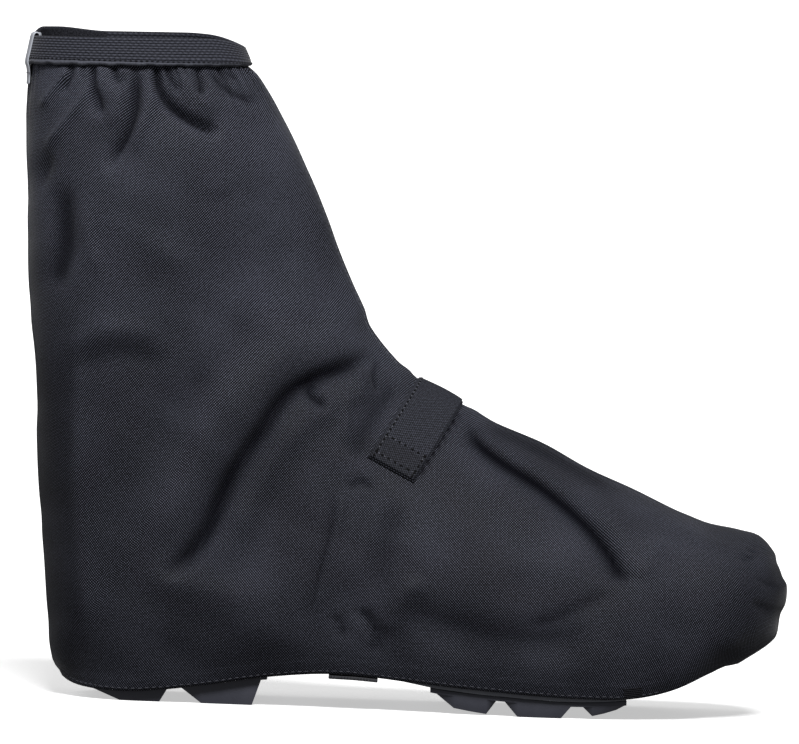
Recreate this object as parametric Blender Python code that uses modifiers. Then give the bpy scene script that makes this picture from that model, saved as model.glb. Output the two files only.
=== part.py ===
"""Cycling overshoe for the right foot, standing empty on its sole.

A waterproof fabric upper is open at an elastic collar and underneath, where a stiff
plate with two rubber tread pads closes it. A strap crosses the instep and another the
arch. +X runs to the toe, -Y is the outer side of the foot and the floor is at Z = 0.
Sizes are in millimetres, measured from the back of the heel, and MM turns them into metres.
"""

import math
from collections import namedtuple

import bmesh
import bpy
from mathutils import Vector

MM = 0.001
LATERAL, MEDIAL = -1, 1

# Driving dimensions
HEM_REAR_X = 4.6           # where the hem ends at the back of the heel
NOSE_X = 303.5             # where the hem would end at the toe
WALL = 1.2                 # coated fabric with its lining
GAP = 0.3                  # clearance between pieces that lie on each other
HEM_POWER = 2.2            # roundness of the upper between its widest line and the hem
HEEL_ROUND, TOE_ROUND = 34.0, 47.0   # how far the round ends of the sole outline reach
NOSE_HEM_SHARE = 0.62      # width of the hem at the nose by the width of the toe there
TOE_SWING, SWING_START = 10.0, 190.0  # the toe leans this far to the inner side
BAND_THICK = 1.6
STRAP_WIDTH, STRAP_THICK = 25.0, 1.6
STRAP_TOP = (159.5, 131.2)  # where the strap's middle crosses the ridge of the instep
STRAP_LEAN = math.radians(31.0)
STRAP_OUTER_REACH, STRAP_INNER_REACH = 37.5, 72.0
ARCH_STRAP_REAR, ARCH_STRAP_FRONT, ARCH_STRAP_THICK = 117.5, 138.0, 1.5
TAB_WIDTH, TAB_THICK = 20.0, 1.0
PLATE_UP = 5.0             # footbed above the hem
PLATE_DRAFT = 0.9          # the plate's rim leans in by this much towards the footbed
HEEL_CLEARANCE = 0.8       # more room at the heel, where the wall slopes under the plate
SLING_LIFT = 2.2           # underside of the plate above the hem where the toe sling passes below
PAD_THICK = 1.8
TREAD_INSET, LUG_DRAFT = 3.0, 1.3

# Mesh fineness
ROW_STEPS = 2
HALF_COLUMNS = 16
SLING_COLUMNS = 4

# Sections of the upper from the toe to the collar. Each lies in a plane through its base
# point, on the hem or the back seam, and its ridge point, on the front seam. bow pushes its
# middle forwards, lateral and medial are its greatest half widths, wide_at is where they
# would lie from base to ridge if the hem were drawn shut, and power rounds it to the ridge.
Section = namedtuple(
    "Section", "name base_x base_z ridge_x ridge_z bow lateral medial wide_at power"
)
SECTIONS = [
    Section("nose", NOSE_X, 36.0, 296.5, 76.0, 8.0, 0.0, 0.0, 0.50, 2.3),
    Section("toe_end", 300.0, 33.2, 293.5, 78.0, 7.6, 17.5, 17.0, 0.50, 2.3),
    Section("toe_cap", 291.0, 28.3, 285.5, 80.6, 6.0, 32.0, 30.5, 0.51, 2.3),
    Section("toe", 277.0, 20.6, 273.0, 83.6, 4.0, 42.5, 40.5, 0.53, 2.2),
    Section("toe_root", 260.0, 12.6, 255.5, 90.0, 2.0, 49.5, 47.0, 0.55, 2.0),
    Section("sling_edge", 243.0, 9.0, 235.5, 98.2, 0.5, 53.5, 51.0, 0.57, 1.8),
    Section("ball", 222.0, 8.5, 212.5, 108.6, 0.0, 55.0, 52.0, 0.57, 1.65),
    Section("ball_rear", 199.0, 9.4, 191.0, 118.2, 0.0, 54.5, 50.5, 0.56, 1.6),
    Section("strap_fore", 175.0, 10.8, 171.0, 126.2, 0.0, 52.0, 47.0, 0.55, 1.6),
    Section("strap_rear", 148.0, 12.9, 152.5, 135.4, 0.0, 49.0, 43.5, 0.53, 1.6),
    Section("instep", 120.0, 14.6, 139.0, 147.2, 0.0, 46.0, 41.5, 0.50, 1.65),
    Section("throat", 92.0, 12.2, 129.5, 159.5, 0.0, 44.0, 40.5, 0.47, 1.75),
    Section("ankle_low", 64.0, 7.5, 123.5, 171.5, 0.0, 42.5, 40.5, 0.44, 1.85),
    Section("ankle", 38.0, 4.3, 118.8, 182.0, 0.0, 42.0, 41.0, 0.39, 1.95),
    Section("heel_seat", 18.0, 4.6, 115.0, 190.5, 0.0, 42.0, 41.5, 0.33, 2.0),
    Section("heel_turn", 8.6, 6.6, 112.6, 195.8, 0.0, 42.0, 41.5, 0.29, 2.05),
    Section("heel_end", HEM_REAR_X, 9.6, 111.0, 199.6, 0.0, 42.0, 41.5, 0.27, 2.05),
    Section("heel_curve", 1.6, 14.8, 109.4, 203.6, 0.0, 42.0, 41.5, 0.26, 2.1),
    Section("heel_back", -0.4, 25.0, 107.6, 208.0, 0.0, 42.2, 41.7, 0.27, 2.1),
    Section("heel", -2.8, 47.0, 104.9, 214.2, 0.0, 42.7, 42.2, 0.30, 2.15),
    Section("heel_top", -5.4, 79.0, 101.6, 221.6, 0.0, 43.5, 43.0, 0.35, 2.2),
    Section("shaft_low", -8.2, 114.0, 97.6, 229.7, 0.0, 45.0, 44.5, 0.41, 2.2),
    Section("shaft", -11.3, 151.0, 92.8, 238.2, 0.0, 46.0, 45.5, 0.46, 2.2),
    Section("shaft_top", -14.0, 187.0, 87.6, 246.6, 0.0, 45.5, 45.0, 0.48, 2.2),
    Section("gather", -16.2, 221.0, 82.4, 255.0, 0.0, 43.0, 42.5, 0.49, 2.2),
    Section("gather_top", -17.0, 246.0, 78.4, 261.0, 0.0, 38.5, 38.0, 0.49, 2.2),
    Section("band_low", -16.2, 263.2, 74.6, 264.8, 0.0, 34.5, 34.0, 0.48, 2.2),
    Section("upper_top", -15.8, 266.8, 73.2, 268.3, 0.0, 33.8, 33.3, 0.48, 2.2),
    Section("band_top", -14.4, 274.6, 69.3, 276.2, 0.0, 32.2, 31.8, 0.48, 2.2),
]
ROW = {section.name: row for row, section in enumerate(SECTIONS)}

# Half widths of the hem before its ends are rounded, by their place along the foot
HemWidth = namedtuple("HemWidth", "x lateral medial")
HEM_WIDTHS = [
    HemWidth(0.0, 34.5, 34.0),
    HemWidth(36.0, 37.0, 36.0),
    HemWidth(90.0, 37.5, 33.5),
    HemWidth(130.0, 41.0, 34.0),
    HemWidth(170.0, 47.0, 41.0),
    HemWidth(205.0, 50.5, 47.0),
    HemWidth(232.0, 50.0, 48.5),
    HemWidth(262.0, 43.0, 42.5),
    HemWidth(305.0, 28.0, 28.0),
]

# How far the plate's underside lies below the hem: it shows as a pale edge at the ball
PlateDrop = namedtuple("PlateDrop", "x drop")
PLATE_DROPS = [
    PlateDrop(0.0, -1.8),
    PlateDrop(70.0, -1.8),
    PlateDrop(112.0, 0.0),
    PlateDrop(142.0, 0.0),
    PlateDrop(168.0, 1.6),
    PlateDrop(212.0, 1.6),
    PlateDrop(246.0, 0.6),
]

# Tread pads, and the lugs of each from the heel to the toe, as they show from the side
Lug = namedtuple("Lug", "rear_base rear_tip front_tip front_base")
Pad = namedtuple("Pad", "name rear front channel lugs")
PADS = [
    Pad("heel_tread", 17.0, 92.0, 13.0, [Lug(19.5, 31.0, 47.5, 50.5), Lug(56.5, 65.0, 86.0, 89.5)]),
    Pad(
        "forefoot_tread",
        160.0,
        241.6,
        16.0,
        [
            Lug(162.5, 170.0, 183.5, 187.5),
            Lug(191.0, 196.5, 214.5, 218.5),
            Lug(223.5, 227.5, 237.5, 240.8),
        ],
    ),
]
ROCKER_FLAT_REAR, ROCKER_FLAT_FRONT = 196.5, 214.5
ROCKER_REAR_CURVE, ROCKER_TOE_CURVE = 280.0, 125.0
ARCH_X = 125.0

Finish = namedtuple("Finish", "colour roughness")
NYLON = Finish((0.030, 0.031, 0.038), 0.62)
ELASTIC = Finish((0.036, 0.037, 0.045), 0.75)
WEBBING = Finish((0.033, 0.034, 0.041), 0.72)
REFLECTIVE = Finish((0.52, 0.54, 0.58), 0.35)
PLATE_NYLON = Finish((0.20, 0.21, 0.24), 0.45)
RUBBER = Finish((0.032, 0.033, 0.040), 0.55)


def smooth_between(before, start, end, after, share):
    """Catmull-Rom value between start and end."""
    bend = 2 * before - 5 * start + 4 * end - after
    twist = 3 * (start - end) + after - before
    return start + 0.5 * share * (end - before + share * (bend + share * twist))


def section_at(row):
    """The section at a row number, which may lie between two rows of the table."""
    first = min(int(row), len(SECTIONS) - 2)
    share = row - first
    if share < 1e-9:
        return SECTIONS[first]
    start, end = SECTIONS[first], SECTIONS[first + 1]
    if first == 0:
        # The round nose mirrors the section behind it.
        before = end._replace(lateral=-end.lateral, medial=-end.medial)
    else:
        before = SECTIONS[first - 1]
    after = SECTIONS[min(first + 2, len(SECTIONS) - 1)]
    values = [
        smooth_between(*numbers, share)
        for numbers in zip(before[1:], start[1:], end[1:], after[1:])
    ]
    return Section(start.name, *values)


def smooth_lookup(table, x, column):
    """A column of a table that runs along x, eased from row to row."""
    if x <= table[0].x:
        return getattr(table[0], column)
    for start, end in zip(table, table[1:]):
        if x <= end.x:
            share = (x - start.x) / (end.x - start.x)
            eased = share * share * (3 - 2 * share)
            low, high = getattr(start, column), getattr(end, column)
            return low + (high - low) * eased
    return getattr(table[-1], column)


def hem_half_width(x, side):
    """Half width of the sole opening, with round ends at heel and toe."""
    if not HEM_REAR_X < x < NOSE_X:
        return 0.0
    width = smooth_lookup(HEM_WIDTHS, x, "lateral" if side == LATERAL else "medial")
    from_heel = min((x - HEM_REAR_X) / HEEL_ROUND, 1.0)
    from_toe = min((NOSE_X - x) / TOE_ROUND, 1.0)
    return width * math.sqrt((1 - (1 - from_heel) ** 2) * (1 - (1 - from_toe) ** 2))


def axis_y(x):
    """The foot's middle line, which swings inwards at the toe."""
    share = max(0.0, (x - SWING_START) / (NOSE_X - SWING_START))
    return TOE_SWING * share**1.5


def widest(section, side):
    return section.lateral if side == LATERAL else section.medial


def tuck_of(section, side):
    """How much the upper draws in from its widest line to the hem: 0 not at all, 1 to nothing."""
    wide = widest(section, side)
    hem = hem_half_width(section.base_x, side) / wide if wide > 0 else NOSE_HEM_SHARE
    return 1 - min(hem, 0.995) ** HEM_POWER


def wide_share(section, side):
    """Where the widest line lies from base to ridge: lower the more open the hem is."""
    return section.wide_at * tuck_of(section, side) ** (1 / HEM_POWER)


def half_width(section, side, share):
    """Half width of a section at a share of the way from its base to its ridge."""
    wide, at = widest(section, side), wide_share(section, side)
    if share < at:
        down = (at - share) / at
        return wide * max(0.0, 1 - tuck_of(section, side) * down**HEM_POWER) ** (1 / HEM_POWER)
    up = min(1.0, (share - at) / (1 - at))
    return wide * (1 - up**section.power) ** (1 / section.power)


def share_at_turn(section, side, turn):
    """Spreads turn, 0 at the base and 1 at the ridge, evenly round the section's curve."""
    tuck, at = tuck_of(section, side), wide_share(section, side)
    lowest = math.asin(math.sqrt(tuck))
    angle = turn * (lowest + math.pi / 2) - lowest
    if angle < 0:
        down = (math.sin(-angle) ** 2 / tuck) ** (1 / HEM_POWER)
        return at * (1 - min(down, 1.0))
    return at + (1 - at) * math.sin(angle) ** (2 / section.power)


def skin_point(section, side, share):
    """Point on the outside of the upper."""
    run, rise = section.ridge_x - section.base_x, section.ridge_z - section.base_z
    length = math.hypot(run, rise)
    push = 4 * section.bow * share * (1 - share) / length
    y = axis_y(section.base_x) + side * half_width(section, side, share)
    return Vector(
        (section.base_x + share * run + push * rise, y, section.base_z + share * rise - push * run)
    )


def section_loop(row, columns=HALF_COLUMNS):
    """Outside of the upper at a row, from the lateral base over the ridge to the medial base."""
    section = section_at(row)
    turns = [step / columns for step in range(columns + 1)]
    outer = [skin_point(section, LATERAL, share_at_turn(section, LATERAL, turn)) for turn in turns]
    inner = [skin_point(section, MEDIAL, share_at_turn(section, MEDIAL, turn)) for turn in turns]
    return outer + inner[-2::-1]


def rows_between(first, last):
    """Row numbers from one named section to another, ROW_STEPS to each."""
    steps = (ROW[last] - ROW[first]) * ROW_STEPS
    return [ROW[first] + step / ROW_STEPS for step in range(steps + 1)]


def hem_z(x):
    """Height of the hem at a place along the foot."""
    hem = [section_at(row) for row in rows_between("nose", "heel_end")]
    for front, rear in zip(hem, hem[1:]):
        if x >= rear.base_x:
            share = (x - rear.base_x) / (front.base_x - rear.base_x)
            return rear.base_z + share * (front.base_z - rear.base_z)
    return hem[-1].base_z


def plate_bottom_z(x):
    return hem_z(x) - smooth_lookup(PLATE_DROPS, x, "drop")


def rocker_z(x):
    """Underside of the lugs: flat at heel and ball, rising behind the ball and to the toe."""
    if x > ROCKER_FLAT_FRONT:
        return (x - ROCKER_FLAT_FRONT) ** 2 / ROCKER_TOE_CURVE
    if ARCH_X < x < ROCKER_FLAT_REAR:
        return (ROCKER_FLAT_REAR - x) ** 2 / ROCKER_REAR_CURVE
    return 0.0


def new_material(name, finish):
    material = bpy.data.materials.new(name)
    material.use_nodes = True
    shader = material.node_tree.nodes["Principled BSDF"]
    shader.inputs["Base Color"].default_value = (*finish.colour, 1.0)
    shader.inputs["Roughness"].default_value = finish.roughness
    return material


def new_part(name, mesh_builder, material, sharp_degrees=40):
    """Turns a bmesh in millimetres into a named object in metres."""
    bmesh.ops.remove_doubles(mesh_builder, verts=mesh_builder.verts, dist=1e-4)
    bmesh.ops.scale(mesh_builder, vec=(MM, MM, MM), verts=mesh_builder.verts)
    mesh = bpy.data.meshes.new(name)
    mesh_builder.to_mesh(mesh)
    mesh_builder.free()
    mesh.shade_smooth()
    mesh.set_sharp_from_angle(angle=math.radians(sharp_degrees))
    mesh.materials.append(material)
    part = bpy.data.objects.new(name, mesh)
    parts_collection.objects.link(part)
    part.parent = shoe_frame
    return part


def add_grid(builder, grid, closed=False):
    """Adds rows of points as a sheet whose outside is on the left of each row's own direction."""
    rows = [[builder.verts.new(point) for point in row] for row in grid]
    for low, high in zip(rows, rows[1:]):
        columns = len(low)
        for column in range(columns if closed else columns - 1):
            after = (column + 1) % columns
            builder.faces.new((low[column], low[after], high[after], high[column]))
    return rows


def add_wall(part, thickness, offset):
    """Gives a sheet its thickness: offset -1 grows inwards and 1 outwards."""
    wall = part.modifiers.new("wall", "SOLIDIFY")
    wall.thickness = thickness * MM
    wall.offset = offset
    wall.use_even_offset = True
    wall.use_quality_normals = True


def lifted(grid, lifts, closed=False):
    """A grid of points moved out along the sheet's own normals, each row by its lift."""
    builder = bmesh.new()
    rows = add_grid(builder, grid, closed)
    builder.normal_update()
    moved = [[vert.co + vert.normal * lift for vert in row] for row, lift in zip(rows, lifts)]
    builder.free()
    return moved


def slab(name, top, bottom, material):
    """A closed solid between two grids of points with the same rows and columns."""
    builder = bmesh.new()
    upper_rows = [[builder.verts.new(point) for point in row] for row in top]
    lower_rows = [[builder.verts.new(point) for point in row] for row in bottom]
    for rows, order in ((upper_rows, (0, 1, 2, 3)), (lower_rows, (3, 2, 1, 0))):
        for low, high in zip(rows, rows[1:]):
            for column in range(len(low) - 1):
                corners = (low[column], high[column], high[column + 1], low[column + 1])
                builder.faces.new([corners[index] for index in order])
    rims = []
    for rows in (upper_rows, lower_rows):
        sides = [row[-1] for row in rows[1:-1]] + rows[-1][::-1] + [row[0] for row in rows[-2:0:-1]]
        rims.append(rows[0] + sides)
    for index in range(len(rims[0])):
        after = (index + 1) % len(rims[0])
        builder.faces.new((rims[0][index], rims[0][after], rims[1][after], rims[1][index]))
    bmesh.ops.remove_doubles(builder, verts=builder.verts, dist=1e-4)
    bmesh.ops.recalc_face_normals(builder, faces=builder.faces)
    return new_part(name, builder, material, sharp_degrees=15)


def make_upper(material):
    """One hollow fabric wall: open at the collar and under the foot, closed below the toe."""
    rows = rows_between("nose", "upper_top")
    loops = [section_loop(row) for row in rows]
    builder = bmesh.new()
    add_grid(builder, loops)
    sling = []
    for row, loop in zip(rows, loops):
        if row <= ROW["sling_edge"]:
            steps = [step / SLING_COLUMNS for step in range(SLING_COLUMNS + 1)]
            sling.append([loop[-1].lerp(loop[0], step) for step in steps])
    add_grid(builder, sling)
    upper = new_part("upper", builder, material)
    add_wall(upper, WALL, offset=-1)
    return upper


def make_collar_band(material):
    """Elastic ring that clasps the top edge of the upper."""
    rows = rows_between("band_low", "band_top")
    loops = [section_loop(row)[:-1] for row in rows]
    lifts = [GAP] * len(rows)
    builder = bmesh.new()
    add_grid(builder, lifted(loops, lifts, closed=True), closed=True)
    band = new_part("collar_band", builder, material)
    add_wall(band, BAND_THICK, offset=1)
    return band


def make_reflective_tab(material):
    """Folded tape over the back of the collar band and the seam below it."""
    rows = rows_between("gather_top", "band_top")[1:]
    half = TAB_WIDTH / 2
    grid, lifts = [], []
    for row in rows:
        section = section_at(row)
        line = []
        for y in (half, half / 2, 0.0, -half / 2, -half):
            side = LATERAL if y < 0 else MEDIAL
            narrow = 1 - (abs(y) / widest(section, side)) ** HEM_POWER
            share = wide_share(section, side) * (1 - narrow ** (1 / HEM_POWER))
            line.append(skin_point(section, side, share))
        grid.append(line)
        on_band = min(max((row - ROW["gather_top"] - 0.5) / 0.5, 0.0), 1.0)
        lifts.append(GAP + on_band * (BAND_THICK + GAP))
    builder = bmesh.new()
    add_grid(builder, lifted(grid, lifts))
    tab = new_part("reflective_tab", builder, material)
    add_wall(tab, TAB_THICK, offset=1)
    return tab


def half_width_at(x, z, side):
    """Half width of the upper at a point of its side view, nothing above the ridge."""
    low, high = float(ROW["ball"]), float(ROW["throat"])
    for _ in range(40):
        middle = (low + high) / 2
        section = section_at(middle)
        run, rise = section.ridge_x - section.base_x, section.ridge_z - section.base_z
        if run * (z - section.base_z) - rise * (x - section.base_x) > 0:
            low = middle
        else:
            high = middle
    share = ((x - section.base_x) * run + (z - section.base_z) * rise) / (run * run + rise * rise)
    return half_width(section, side, share)


def strap_line(across, points):
    """A cross-section of the instep in the strap's slanting plane, as evenly spaced points."""
    along = Vector((math.sin(STRAP_LEAN), 0, math.cos(STRAP_LEAN)))
    over = Vector((math.cos(STRAP_LEAN), 0, -math.sin(STRAP_LEAN)))
    middle = Vector((STRAP_TOP[0], 0, STRAP_TOP[1])) + over * across
    low, high = -20.0, 20.0
    for _ in range(40):
        crest = (low + high) / 2
        spot = middle - along * crest
        if half_width_at(spot.x, spot.z, LATERAL) == 0:
            low = crest
        else:
            high = crest
    line = []
    for side, reach in ((LATERAL, STRAP_OUTER_REACH), (MEDIAL, STRAP_INNER_REACH)):
        arm = []
        for step in range(41):
            down = high + (reach - high) * (step / 40) ** 2
            spot = middle - along * down
            arm.append(Vector((spot.x, side * half_width_at(spot.x, spot.z, side), spot.z)))
        line = arm[::-1] if side == LATERAL else line + arm[1:]
    lengths = [0.0]
    for start, end in zip(line, line[1:]):
        lengths.append(lengths[-1] + (end - start).length)
    even, index = [], 0
    for step in range(points):
        target = lengths[-1] * step / (points - 1)
        while index < len(line) - 2 and lengths[index + 1] < target:
            index += 1
        share = (target - lengths[index]) / (lengths[index + 1] - lengths[index])
        even.append(line[index].lerp(line[index + 1], share))
    return even


def make_instep_strap(material):
    """Webbing over the instep, sewn low on the inner side and fastened on the outer."""
    half = STRAP_WIDTH / 2
    grid = [strap_line(across, points=30) for across in (half, half / 3, -half / 3, -half)]
    builder = bmesh.new()
    add_grid(builder, lifted(grid, [GAP + 0.2] * len(grid)))
    strap = new_part("instep_strap", builder, material)
    add_wall(strap, STRAP_THICK, offset=1)
    return strap


def inset_outline(rows, inset):
    """Lateral and medial hem points of each row, moved in by a clearance as seen from above."""
    outer, inner = [], []
    for row in rows:
        section = section_at(row)
        x, middle = section.base_x, axis_y(section.base_x)
        outer.append(Vector((x, middle - hem_half_width(x, LATERAL))))
        inner.append(Vector((x, middle + hem_half_width(x, MEDIAL))))
    loop = outer + inner[-2:0:-1]
    moved = []
    for index, point in enumerate(loop):
        tangent = loop[(index + 1) % len(loop)] - loop[index - 1]
        inward = Vector((tangent.y, -tangent.x)).normalized()
        moved.append(point + inward * (inset + HEEL_CLEARANCE * max(0.0, inward.x)))
    moved_outer = moved[: len(rows)]
    moved_inner = [moved[0]] + moved[: len(rows) - 2 : -1]
    return moved_outer, moved_inner


def make_sole_plate(material):
    """Stiff plate inside the hem, stepped up over the fabric sling below the toe."""
    step_row = ROW["sling_edge"]
    rows = sorted(rows_between("nose", "heel_end") + [step_row + 0.05, step_row + 0.08])
    low_edges = inset_outline(rows, WALL + GAP)
    high_edges = inset_outline(rows, WALL + GAP + PLATE_DRAFT)
    top, bottom = [], []
    for row, low, high in zip(rows, zip(*low_edges), zip(*high_edges)):
        section = section_at(row)
        up = section.base_z + PLATE_UP
        if row <= step_row + 0.05:
            down = section.base_z + SLING_LIFT
        else:
            down = plate_bottom_z(section.base_x)
        top.append([(*edge, up) for edge in high])
        bottom.append([(*edge, down) for edge in low])
    return slab("sole_plate", top, bottom, material)


def make_tread(pad, material):
    """Rubber pad with a lateral and a medial row of lugs and a channel between them."""
    stations = [(pad.rear, 0.0)]
    for lug in pad.lugs:
        middle = (lug.rear_tip + lug.front_tip) / 2
        stations += [(lug.rear_base, 0.0), (lug.rear_tip, 1.0), (middle, 1.0)]
        stations += [(lug.front_tip, 1.0), (lug.front_base, 0.0)]
    stations.append((pad.front, 0.0))
    top, bottom = [], []
    for x, depth in stations:
        upper_z = plate_bottom_z(x) - GAP
        pad_z = upper_z - PAD_THICK
        tip_z = rocker_z(x)
        upper_line, lower_line = [], []
        for side in (LATERAL, MEDIAL):
            edge = hem_half_width(x, side) - TREAD_INSET
            reaches = [
                (edge, 0.0),
                (edge - LUG_DRAFT, 1.0),
                (pad.channel + LUG_DRAFT, 1.0),
                (pad.channel, 0.0),
            ]
            for reach, share in reaches if side == LATERAL else reaches[::-1]:
                y = axis_y(x) + side * reach
                upper_line.append((x, y, upper_z))
                lower_line.append((x, y, pad_z + (tip_z - pad_z) * share * depth))
        top.append(upper_line)
        bottom.append(lower_line)
    return slab(pad.name, top, bottom, material)


def make_arch_strap(material):
    """Webbing that passes under the arch from hem to hem."""
    middle = (ARCH_STRAP_REAR + ARCH_STRAP_FRONT) / 2
    top, bottom = [], []
    for x in (ARCH_STRAP_FRONT, middle, ARCH_STRAP_REAR):
        up = plate_bottom_z(x) - GAP - 0.1
        line = [(x, -hem_half_width(x, LATERAL), up), (x, hem_half_width(x, MEDIAL), up)]
        top.append(line)
        bottom.append([(x, y, up - ARCH_STRAP_THICK) for x, y, _ in line])
    return slab("arch_strap", top, bottom, material)


def centre_frame(parts):
    """Puts the frame's origin under the middle of the whole shoe, on the floor."""
    bpy.context.view_layer.update()
    graph = bpy.context.evaluated_depsgraph_get()
    corners = [Vector(corner) for part in parts for corner in part.evaluated_get(graph).bound_box]
    for axis in (0, 1):
        values = [corner[axis] for corner in corners]
        shoe_frame.location[axis] = -(min(values) + max(values)) / 2


for old in list(bpy.data.objects):
    bpy.data.objects.remove(old, do_unlink=True)
parts_collection = bpy.data.collections.new("cycling_overshoe")
bpy.context.scene.collection.children.link(parts_collection)
shoe_frame = bpy.data.objects.new("shoe_frame", None)
parts_collection.objects.link(shoe_frame)

webbing = new_material("webbing", WEBBING)
rubber = new_material("tread_rubber", RUBBER)
all_parts = [
    make_upper(new_material("shell_nylon", NYLON)),
    make_collar_band(new_material("collar_elastic", ELASTIC)),
    make_reflective_tab(new_material("reflective_tape", REFLECTIVE)),
    make_instep_strap(webbing),
    make_sole_plate(new_material("plate_nylon", PLATE_NYLON)),
    make_arch_strap(webbing),
]
all_parts += [make_tread(pad, rubber) for pad in PADS]
centre_frame(all_parts)
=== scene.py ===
# %% [markdown]
# # Dressing a cycling overshoe
# A cycling overshoe is a loose boot of coated nylon that a rider pulls over a cycling shoe
# when it rains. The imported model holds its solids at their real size. This lesson gives
# them their looks: cloth with folds and gathers, webbing, elastic, tape, rubber and thread.
# Everything is in metres in the frame of the solids, so a piece goes where its solid is.

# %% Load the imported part
import math
from collections import namedtuple

import bmesh
import bpy
import numpy as np
from mathutils import Matrix, Vector


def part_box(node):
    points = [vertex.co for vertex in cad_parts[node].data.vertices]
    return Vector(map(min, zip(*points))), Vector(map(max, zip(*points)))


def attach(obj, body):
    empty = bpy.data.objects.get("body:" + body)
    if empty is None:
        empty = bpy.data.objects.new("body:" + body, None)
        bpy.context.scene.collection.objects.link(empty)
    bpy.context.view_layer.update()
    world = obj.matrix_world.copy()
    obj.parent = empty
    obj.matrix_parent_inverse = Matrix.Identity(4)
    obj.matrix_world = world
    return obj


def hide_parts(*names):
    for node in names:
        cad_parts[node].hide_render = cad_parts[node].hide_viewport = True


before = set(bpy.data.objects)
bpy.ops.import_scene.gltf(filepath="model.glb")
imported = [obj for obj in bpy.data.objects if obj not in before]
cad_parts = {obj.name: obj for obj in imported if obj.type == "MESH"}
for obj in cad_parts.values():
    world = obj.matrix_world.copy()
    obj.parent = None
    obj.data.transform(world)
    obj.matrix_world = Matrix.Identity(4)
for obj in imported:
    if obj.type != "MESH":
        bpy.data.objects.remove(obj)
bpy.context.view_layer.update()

MM = 0.001
LATERAL, MEDIAL = -1, 1

# %% [markdown]
# ## The last shape
# The upper follows slanting sections from the toe to the collar, the way a pattern cutter
# draws them on a last. The sizes are those of the solids, in millimetres from the back of
# the heel, so the cloth lies exactly where the plain shell was.

# %% Sections of the upper
HEM_REAR_X, NOSE_X = 4.6, 303.5
WALL, GAP = 1.2, 0.3
HEM_POWER = 2.2
HEEL_ROUND, TOE_ROUND = 34.0, 47.0
NOSE_HEM_SHARE = 0.62
TOE_SWING, SWING_START = 10.0, 190.0
Section = namedtuple(
    "Section", "name base_x base_z ridge_x ridge_z bow lateral medial wide_at power"
)
SECTION_ROWS = [
    ("nose", NOSE_X, 36, 296.5, 76, 8, 0, 0, 0.5, 2.3),
    ("toe_end", 300, 33.2, 293.5, 78, 7.6, 17.5, 17, 0.5, 2.3),
    ("toe_cap", 291, 28.3, 285.5, 80.6, 6, 32, 30.5, 0.51, 2.3),
    ("toe", 277, 20.6, 273, 83.6, 4, 42.5, 40.5, 0.53, 2.2),
    ("toe_root", 260, 12.6, 255.5, 90, 2, 49.5, 47, 0.55, 2),
    ("sling_edge", 243, 9, 235.5, 98.2, 0.5, 53.5, 51, 0.57, 1.8),
    ("ball", 222, 8.5, 212.5, 108.6, 0, 55, 52, 0.57, 1.65),
    ("ball_rear", 199, 9.4, 191, 118.2, 0, 54.5, 50.5, 0.56, 1.6),
    ("strap_fore", 175, 10.8, 171, 126.2, 0, 52, 47, 0.55, 1.6),
    ("strap_rear", 148, 12.9, 152.5, 135.4, 0, 49, 43.5, 0.53, 1.6),
    ("instep", 120, 14.6, 139, 147.2, 0, 46, 41.5, 0.5, 1.65),
    ("throat", 92, 12.2, 129.5, 159.5, 0, 44, 40.5, 0.47, 1.75),
    ("ankle_low", 64, 7.5, 123.5, 171.5, 0, 42.5, 40.5, 0.44, 1.85),
    ("ankle", 38, 4.3, 118.8, 182, 0, 42, 41, 0.39, 1.95),
    ("heel_seat", 18, 4.6, 115, 190.5, 0, 42, 41.5, 0.33, 2),
    ("heel_turn", 8.6, 6.6, 112.6, 195.8, 0, 42, 41.5, 0.29, 2.05),
    ("heel_end", HEM_REAR_X, 9.6, 111, 199.6, 0, 42, 41.5, 0.27, 2.05),
    ("heel_curve", 1.6, 14.8, 109.4, 203.6, 0, 42, 41.5, 0.26, 2.1),
    ("heel_back", -0.4, 25, 107.6, 208, 0, 42.2, 41.7, 0.27, 2.1),
    ("heel", -2.8, 47, 104.9, 214.2, 0, 42.7, 42.2, 0.3, 2.15),
    ("heel_top", -5.4, 79, 101.6, 221.6, 0, 43.5, 43, 0.35, 2.2),
    ("shaft_low", -8.2, 114, 97.6, 229.7, 0, 45, 44.5, 0.41, 2.2),
    ("shaft", -11.3, 151, 92.8, 238.2, 0, 46, 45.5, 0.46, 2.2),
    ("shaft_top", -14, 187, 87.6, 246.6, 0, 45.5, 45, 0.48, 2.2),
    ("gather", -16.2, 221, 82.4, 255, 0, 43, 42.5, 0.49, 2.2),
    ("gather_top", -17, 246, 78.4, 261, 0, 38.5, 38, 0.49, 2.2),
    ("band_low", -16.2, 263.2, 74.6, 264.8, 0, 34.5, 34, 0.48, 2.2),
    ("upper_top", -15.8, 266.8, 73.2, 268.3, 0, 33.8, 33.3, 0.48, 2.2),
    ("band_top", -14.4, 274.6, 69.3, 276.2, 0, 32.2, 31.8, 0.48, 2.2),
]
SECTIONS = [Section(*row) for row in SECTION_ROWS]
ROW = {section.name: row for row, section in enumerate(SECTIONS)}
HemWidth = namedtuple("HemWidth", "x lateral medial")
HEM_ROWS = [
    (0.0, 34.5, 34),
    (36.0, 37, 36),
    (90.0, 37.5, 33.5),
    (130.0, 41, 34),
    (170.0, 47, 41),
    (205.0, 50.5, 47),
    (232.0, 50, 48.5),
    (262.0, 43, 42.5),
    (305.0, 28, 28),
]
HEM_WIDTHS = [HemWidth(*row) for row in HEM_ROWS]
print("sections", len(SECTIONS), "from", SECTIONS[0].name, "to", SECTIONS[-1].name)


# %% Read the sections anywhere
def smooth_between(before, start, end, after, share):
    """Catmull-Rom value between start and end."""
    bend = 2 * before - 5 * start + 4 * end - after
    twist = 3 * (start - end) + after - before
    return start + 0.5 * share * (end - before + share * (bend + share * twist))


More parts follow.
